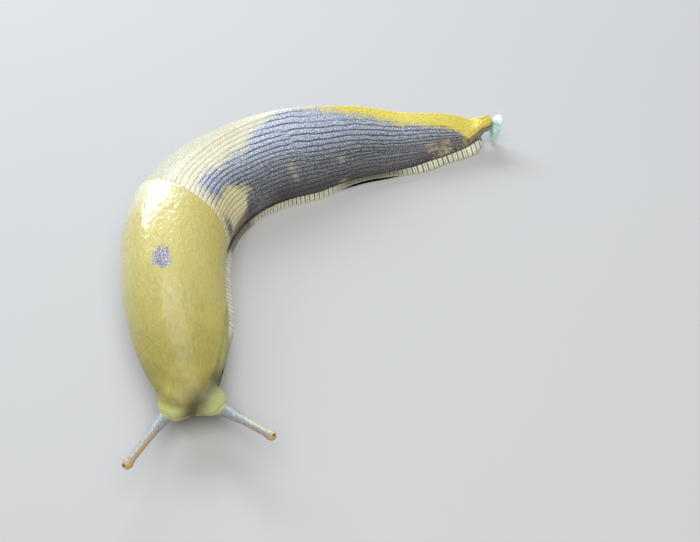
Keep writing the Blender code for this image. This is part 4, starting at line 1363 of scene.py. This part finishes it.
def remeshed(bm, voxel):
    """One closed skin round the pieces of bm."""
    mesh = bpy.data.meshes.new("rough")
    bm.to_mesh(mesh)
    bm.free()
    rough = bpy.data.objects.new("rough", mesh)
    bpy.context.scene.collection.objects.link(rough)
    modifier = rough.modifiers.new("skin", "REMESH")
    modifier.mode = "VOXEL"
    modifier.voxel_size = voxel * MM
    modifier.adaptivity = 0.0
    bpy.context.view_layer.update()
    result = bpy.data.meshes.new_from_object(rough.evaluated_get(bpy.context.evaluated_depsgraph_get()))
    bpy.data.objects.remove(rough, do_unlink=True)
    smooth = bmesh.new()
    smooth.from_mesh(result)
    bpy.data.meshes.remove(result)
    return smooth


def even_out(bm, rounds):
    for _ in range(rounds):
        bmesh.ops.smooth_vert(bm, verts=bm.verts, factor=0.5,
                              use_axis_x=True, use_axis_y=True, use_axis_z=True)


def make_head(sizes, colours):
    """Neck, swellings, the front of the mantle, eye stalks, feelers and lips as one skin."""
    bm = bmesh.new()
    add_neck(bm)
    add_mantle_front(bm)
    for x, y, z, radius in BULGES.values():
        add_ball(bm, (x, y, z), (radius,) * 3)
    add_ball(bm, BRIDGE, BRIDGE_RADII)
    for root, tip in STALKS.values():
        add_rod(bm, root, tip, stalk_radius)
        knob = tip - (tip - root) * KNOB_RADIUS / float(np.linalg.norm(tip - root))
        add_ball(bm, knob, (KNOB_RADIUS,) * 3, 24)
    for root, tip in FEELERS.values():
        add_rod(bm, root, tip, lambda share: FEELER_RADIUS * (1.1 + 0.5 * ease(0.6 - share)))
        add_ball(bm, tip, (FEELER_RADIUS * 1.05,) * 3, 20)
    for centre, radii in LIPS.values():
        add_ball(bm, centre, radii, 30)
    bm = remeshed(bm, sizes.head_voxel)
    even_out(bm, 3)
    points = pull_to_skin(coordinates(bm) / MM + CENTRE)
    move_vertices(bm, points)
    bm.normal_update()
    normals = np.array([v.normal for v in bm.verts])
    x, y, z = points.T
    s, offset = spine_place(points)
    angle, _ = section_polar(s, offset, z, chin_floor(s))
    out = mantle_out(s, angle)
    from_ball = np.minimum(*(np.linalg.norm(points - b[:3], axis=1) - b[3] for b in BULGES.values()))
    stalk, amber, lime = stalk_masks(points, normals, from_ball)
    free = rise(out, 0.955, 0.07)
    low_face = fall(z, 6.5, 1.5) * fall(y, -42.0, 1.5)
    mouth = np.exp(-((z - 4.15) / 0.28) ** 2 - ((x + 36.85) / 1.7) ** 2) * low_face
    grain = 0.035 * noise(x / 0.8, y / 0.8, z / 0.8, seed=61)
    grain = grain + 0.05 * noise(x / 2.4, y / 2.4, z / 2.4, seed=62)
    grain = grain * (1.0 - 0.5 * stalk) * blend(1.0, free, 0.8)
    relief = mantle_relief(sizes, s, angle * DEGREE, np.minimum(out, 1.0)) * rise(s, 2.0, 8.0)
    relief = np.where(out < 1.0, relief, 0.0) * (1.0 - stalk)
    points = points + normals * (grain + relief - 0.5 * mouth)[:, None]
    points[:, 2] = np.maximum(points[:, 2], 0.6)
    move_vertices(bm, points)
    nodes = ["head", "neck", "trunk_front"]
    for side in ("right", "left"):
        nodes += [f"eye_stalk_{side}_lower", f"eye_stalk_{side}_upper", f"eye_knob_{side}", f"feeler_{side}"]
    piece = new_piece("head_skin", bm, head_material(colours), nodes)
    mantle_masks(piece, s, angle, np.minimum(out, 0.98), 0.0 * s)
    # Painted shade in the valley, which is partly darker skin, along the brow and in the slit of the mouth.
    shade = 0.92 * peak(line_distance(points, VALLEY), 0.0, 2.8) * rise(z, 3.5, 2.0)
    shade = np.maximum(shade, 0.42 * peak(line_distance(points, BROW), 0.0, 1.3))
    set_masks(
        piece,
        covered=1.0 - free,
        swelling=free * fall(from_ball, 2.6, 2.0),
        stalk=stalk,
        amber=amber,
        lime=lime,
        shade=np.clip(shade + 0.8 * mouth, 0.0, 1.0) * (1.0 - stalk),
        warm=fall(z, 9.0, 4.0) * fall(y, -48.0, 2.5) * fall(x, -38.5, 2.0) * 0.8)


def stalk_masks(points, normals, from_ball):
    """Where the stalks are, where they turn amber, and where a lime glow of light through their tops is
    painted.
    """
    stalk, amber, lime = np.zeros((3, len(points)))
    for side, (root, tip) in STALKS.items():
        amber_on_top, lime_share = STALK_TINTS[side]
        distance, away, length = along_line(points, root, tip)
        near = (away < 2.2) & (distance > 0.3)
        own = np.where(near, rise(distance, 0.4, 0.9) * rise(from_ball, 0.05, 0.35), 0.0)
        knob = ease((distance - length + 4.0) / 3.5)
        below = ease((0.25 + normals @ BELOW) / 0.8) * rise(distance, 3.0, 9.0)
        # Painted glow of light through the upper side of each stalk.
        above = ease((normals @ ABOVE - 0.15) / 0.6) * rise(distance, 5.0, 6.0)
        stalk = np.maximum(stalk, own)
        amber = np.maximum(amber, own * np.maximum(knob * blend(amber_on_top, 0.9, below), below * 0.85))
        lime = np.maximum(lime, own * above * lime_share)
    return stalk, amber, lime


def skin_reach(start, direction):
    """Millimetres from a point inside the head to its skin in one direction."""
    reach = 0.0
    for _ in range(12):
        reach -= float(head_distance((start + direction * reach)[None])[0])
    return reach


def make_eyes(colours):
    material = eye_material(colours)
    for side, (root, tip) in STALKS.items():
        knob = tip - (tip - root) / np.linalg.norm(tip - root) * KNOB_RADIUS
        facing = np.array(EYE_FACING[side])
        centre = knob + facing * (skin_reach(knob, facing) + EYE_OUT - EYE_RADIUS)
        bm = bmesh.new()
        add_ball(bm, centre, (EYE_RADIUS,) * 3, 32)
        new_piece(f"eye_ball_{side}", bm, material, (f"eye_{side}",))


def make_plug(colours):
    """The plug of dried mucus: a folded drop with a flat cap that hangs from the pore."""
    bm, turn, share = ball(*PLUG_MESH)
    z = blend(PLUG[0, 0] - 0.1, PLUG[-1, 0] + 0.15, share)
    close = np.sqrt(np.clip(np.minimum(share, 1.0 - share) / 0.05, 0.0, 1.0))
    across = smooth_column(PLUG, z, 1)
    length = smooth_column(PLUG, z, 2)
    folds = 0.10 * np.sin(3.0 * turn + 0.5 * z) + 0.07 * np.sin(5.0 * turn - 0.8 * z + 1.0)
    folds = folds + 0.10 * noise(2.0 * np.cos(turn), 2.0 * np.sin(turn), z / 1.6, seed=71)
    waist = 1.0 - 0.14 * peak(z, 8.0, 0.35)
    radius = (1.0 + folds) * waist * close
    # The cap leans toward the tail and the drop's point toward the head.
    lean = 0.10 * (z - 5.0)
    s = PLUG_S + lean + length * radius * np.cos(turn)
    move_vertices(bm, at(s, PLUG_OFFSET + across * radius * np.sin(turn), z))
    piece = new_piece("mucus_plug", bm, plug_material(colours), ("tail_plug",))
    set_masks(
        piece,
        white=rise(z, 8.7, 1.0) * 0.6 + 0.6 * fall(z, 1.7, 1.0),
        ring=0.8 * peak(z, 8.0, 0.28))


def add_lamp(name, location, target, size, energy, colour, roll):
    light = bpy.data.lights.new(name, "AREA")
    light.shape = "RECTANGLE"
    light.size, light.size_y = size
    light.energy = energy
    light.color = colour
    lamp = bpy.data.objects.new(name, light)
    lamp.location = location
    aim = Vector(target) - Vector(location)
    turn = Matrix.Rotation(math.radians(roll), 4, "Z")
    lamp.rotation_euler = (aim.to_track_quat("-Z", "Y").to_matrix().to_4x4() @ turn).to_euler()
    bpy.context.scene.collection.objects.link(lamp)


def make_floor(colours):
    bm = bmesh.new()
    bmesh.ops.create_grid(bm, x_segments=8, y_segments=8, size=2.5)
    mesh = bpy.data.meshes.new("floor")
    bm.to_mesh(mesh)
    bm.free()
    floor = bpy.data.objects.new("floor", mesh)
    bpy.context.scene.collection.objects.link(floor)
    mesh.materials.append(floor_material(colours))


def make_camera():
    look_at = Vector(place(np.zeros(3)))
    tilt = math.radians(CAMERA_ELEVATION)
    location = look_at + Vector((0.0, -math.cos(tilt), math.sin(tilt))) * CAMERA_DISTANCE * MM
    camera = bpy.data.cameras.new("camera")
    camera.sensor_width = SENSOR_WIDTH
    camera.lens = FOCAL_PIXELS * SENSOR_WIDTH / IMAGE_WIDTH
    camera.clip_start = 0.01
    holder = bpy.data.objects.new("camera", camera)
    holder.location = location
    holder.rotation_euler = (look_at - location).to_track_quat("-Z", "Y").to_euler()
    bpy.context.scene.collection.objects.link(holder)
    bpy.context.scene.camera = holder


def make_world(strength):
    world = bpy.data.worlds.new("soft_daylight")
    world.use_nodes = True
    background = world.node_tree.nodes["Background"]
    background.inputs["Color"].default_value = (0.93, 0.96, 1.0, 1.0)
    background.inputs["Strength"].default_value = strength
    bpy.context.scene.world = world


def size_property(name, description, default):
    return FloatProperty(name=name, description=description, default=default)


def colour_property(name, description, default):
    return FloatVectorProperty(name=name, description=description, default=default, size=3, subtype="COLOR",
                               min=0.0, max=1.0)


class SlugSizes(bpy.types.PropertyGroup):
    """Sizes of the skin's relief in millimetres, and the strength of the daylight"""
    furrow_depth: size_property("Furrow depth", "Depth of the long furrows in mm", 0.26)
    cross_depth: size_property("Cross furrow depth", "Depth of the cross furrows in mm", 0.12)
    mantle_wrinkle: size_property("Mantle wrinkles", "Height of the wrinkles in mm", 0.04)
    mantle_grain: size_property("Mantle grain", "Height of the long granules in mm", 0.034)
    rib_pitch: size_property("Rib pitch", "Distance between pairs of ribs in mm", 1.5)
    rib_depth: size_property("Rib depth", "Depth of the grooves between ribs in mm", 0.42)
    head_voxel: size_property("Head detail", "Size of the head's mesh in mm", 0.25)
    light: size_property("Sky light", "Strength of the soft daylight", 0.42)


class SlugColours(bpy.types.PropertyGroup):
    """Colours of the skin and of the stage"""
    mantle_gold: colour_property("Mantle gold", "Main colour of the mantle", (0.57, 0.50, 0.14))
    mantle_ochre: colour_property("Mantle ochre", "Warmer blotches of the mantle", (0.60, 0.475, 0.075))
    mantle_olive: colour_property("Mantle olive", "Front of the mantle", (0.28, 0.25, 0.04))
    mantle_pale: colour_property("Mantle pale", "Paler flecks of the mantle", (0.62, 0.57, 0.21))
    # The mantle's own lines, and painted shade over the front's middle, along the margin and in the
    # breathing pore.
    mantle_shade: colour_property("Mantle shade", "Lines and folds of the mantle", (0.24, 0.18, 0.03))
    mantle_spot: colour_property("Mantle spot", "Lines of the spot on the mantle", (0.13, 0.10, 0.15))
    spot_blue: colour_property("Spot blue", "Beads of the spot on the mantle", (0.55, 0.61, 0.86))
    back_cream: colour_property("Back cream", "Pale skin behind the mantle", (0.80, 0.79, 0.63))
    # Painted shade on the cream over the top of the bend.
    back_buff: colour_property("Back buff", "Cream skin over the top of the bend", (0.50, 0.48, 0.345))
    back_yellow: colour_property("Back yellow", "Yellow-green skin behind the mantle", (0.78, 0.75, 0.41))
    # Dark markings of the back, lightened and blued on their top by painted sky sheen.
    back_slate: colour_property("Back slate", "Dark markings of the back", (0.21, 0.26, 0.39))
    # Painted sky sheen on the top of the dark markings.
    slate_frost: colour_property("Slate frost", "Brightest part of the dark markings", (0.52, 0.63, 0.92))
    # Pale granule tops in the dark markings, whitened as painted glints.
    slate_pale: colour_property("Pale slate", "Tops of the granules in the dark markings", (0.90, 0.96, 1.0))
    slate_green: colour_property("Green slate", "Lower dark markings", (0.048, 0.053, 0.065))
    green_pale: colour_property("Pale green slate", "Granules of lower dark markings", (0.36, 0.385, 0.40))
    # Lowest part of the dark flank, and painted shade under the horn and at the bend.
    flank_brown: colour_property("Flank brown", "Lowest part of the dark flank", (0.045, 0.032, 0.037))
    mottle_tan: colour_property("Tan mottling", "Flecks on the flank of the tail", (0.52, 0.43, 0.20))
    # Painted rim light along the top of the keel.
    crest_pale: colour_property("Crest pale", "Pale line along the top of the keel", (0.96, 0.93, 0.70))
    keel_yellow: colour_property("Keel yellow", "Bright band along the keel", (0.84, 0.71, 0.09))
    tail_orange: colour_property("Tail orange", "Underside of the tail's end", (0.92, 0.56, 0.02))
    furrow_brown: colour_property("Furrow brown", "Furrows of the pale skin", (0.50, 0.25, 0.06))
    furrow_tan: colour_property("Furrow tan", "Furrows of the cream skin", (0.58, 0.47, 0.24))
    furrow_navy: colour_property("Furrow navy", "Furrows of the dark skin", (0.010, 0.011, 0.025))
    fringe_cream: colour_property("Fringe cream", "Ribs of the fringe", (0.93, 0.90, 0.68))
    fringe_grey: colour_property("Fringe grey", "Greyer ribs of the fringe", (0.70, 0.72, 0.54))
    # Dark line above the fringe, and painted shade on the fringe at the bend and on its thin rear stretch.
    fringe_olive: colour_property("Fringe olive", "Line above the fringe", (0.07, 0.045, 0.022))
    fringe_groove: colour_property("Fringe groove", "Grooves between ribs", (0.02, 0.022, 0.022))
    sole: colour_property("Sole", "Underside of the foot", (0.55, 0.52, 0.33))
    neck_green: colour_property("Neck green", "Bare flank of the neck", (0.42, 0.39, 0.115))
    head_green: colour_property("Head green", "Swellings of the head", (0.59, 0.61, 0.22))
    head_amber: colour_property("Head amber", "Lower edge of the swellings", (0.78, 0.60, 0.04))
    head_shade: colour_property("Head shade", "Valley between the mantle and the head", (0.07, 0.058, 0.016))
    stalk_grey: colour_property("Stalk grey", "Eye stalks", (0.20, 0.20, 0.22))
    stalk_pale: colour_property("Stalk pale", "Beads on the eye stalks", (0.60, 0.64, 0.70))
    stalk_amber: colour_property("Stalk amber", "Knobs and undersides of the stalks", (0.62, 0.34, 0.045))
    eye_black: colour_property("Eye black", "The eyes", (0.004, 0.004, 0.006))
    eye_brown: colour_property("Eye brown", "Paler parts of the eyes", (0.02, 0.012, 0.01))
    plug_mint: colour_property("Plug mint", "The mucus plug", (0.68, 0.96, 0.86))
    plug_green: colour_property("Plug green", "Deeper streaks of the plug", (0.52, 0.90, 0.78))
    plug_white: colour_property("Plug white", "White top and streaks of the plug", (0.86, 0.96, 0.97))
    floor: colour_property("Floor", "The plain floor", (0.44, 0.435, 0.43))


class SlugOperator:
    bl_options = {"REGISTER", "UNDO"}

    def execute(self, context):
        self.build(context.scene.slug_sizes, context.scene.slug_colours)
        return {"FINISHED"}


class SLUG_OT_head(SlugOperator, bpy.types.Operator):
    """Make the head, neck, eye stalks and feelers as one skin"""
    bl_idname = "slug.head"
    bl_label = "Head and stalks"

    def build(self, sizes, colours):
        make_head(sizes, colours)


class SLUG_OT_eyes(SlugOperator, bpy.types.Operator):
    """Set the eyes in the ends of the stalks"""
    bl_idname = "slug.eyes"
    bl_label = "Eyes"

    def build(self, sizes, colours):
        make_eyes(colours)


class SLUG_OT_back(SlugOperator, bpy.types.Operator):
    """Make the furrowed back, the keel and the tail as one skin"""
    bl_idname = "slug.back"
    bl_label = "Back and tail"

    def build(self, sizes, colours):
        make_back(sizes, colours)


class SLUG_OT_mantle(SlugOperator, bpy.types.Operator):
    """Wrap the mantle over the front half"""
    bl_idname = "slug.mantle"
    bl_label = "Mantle"

    def build(self, sizes, colours):
        make_mantle(sizes, colours)


class SLUG_OT_foot(SlugOperator, bpy.types.Operator):
    """Make the sole and the ribbed fringe"""
    bl_idname = "slug.foot"
    bl_label = "Foot and fringe"

    def build(self, sizes, colours):
        make_foot(sizes, colours)


class SLUG_OT_plug(SlugOperator, bpy.types.Operator):
    """Hang the plug of mucus from the tail's pore"""
    bl_idname = "slug.plug"
    bl_label = "Mucus plug"

    def build(self, sizes, colours):
        make_plug(colours)


class SLUG_OT_stage(SlugOperator, bpy.types.Operator):
    """Lay the floor and set the daylight and the camera"""
    bl_idname = "slug.stage"
    bl_label = "Stage"

    def build(self, sizes, colours):
        make_floor(colours)
        make_world(sizes.light)
        for lamp in LAMPS:
            add_lamp(*lamp)
        bpy.context.scene.view_settings.view_transform = "Standard"
        make_camera()


class SLUG_PT_panel(bpy.types.Panel):
    """The slug's pieces, sizes and colours"""
    bl_label = "Banana slug"
    bl_idname = "SLUG_PT_panel"
    bl_space_type = "VIEW_3D"
    bl_region_type = "UI"
    bl_category = "Slug"

    def draw(self, context):
        column = self.layout.column()
        for operator in OPERATORS:
            column.operator(operator.bl_idname)
        for group in (context.scene.slug_sizes, context.scene.slug_colours):
            for name in group.__annotations__:
                column.prop(group, name)


OPERATORS = (
    SLUG_OT_stage, SLUG_OT_head, SLUG_OT_eyes, SLUG_OT_back, SLUG_OT_mantle, SLUG_OT_foot, SLUG_OT_plug,
)
CLASSES = (SlugSizes, SlugColours, *OPERATORS, SLUG_PT_panel)


def register():
    for cls in CLASSES:
        bpy.utils.register_class(cls)
    bpy.types.Scene.slug_sizes = PointerProperty(type=SlugSizes)
    bpy.types.Scene.slug_colours = PointerProperty(type=SlugColours)


def unregister():
    del bpy.types.Scene.slug_colours
    del bpy.types.Scene.slug_sizes
    for cls in reversed(CLASSES):
        bpy.utils.unregister_class(cls)


def main():
    register()
    bpy.ops.slug.stage()
    bpy.ops.slug.head()
    bpy.ops.slug.eyes()
    bpy.ops.slug.back()
    bpy.ops.slug.mantle()
    bpy.ops.slug.foot()
    bpy.ops.slug.plug()
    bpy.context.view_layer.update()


if __name__ == "__main__":
    main()
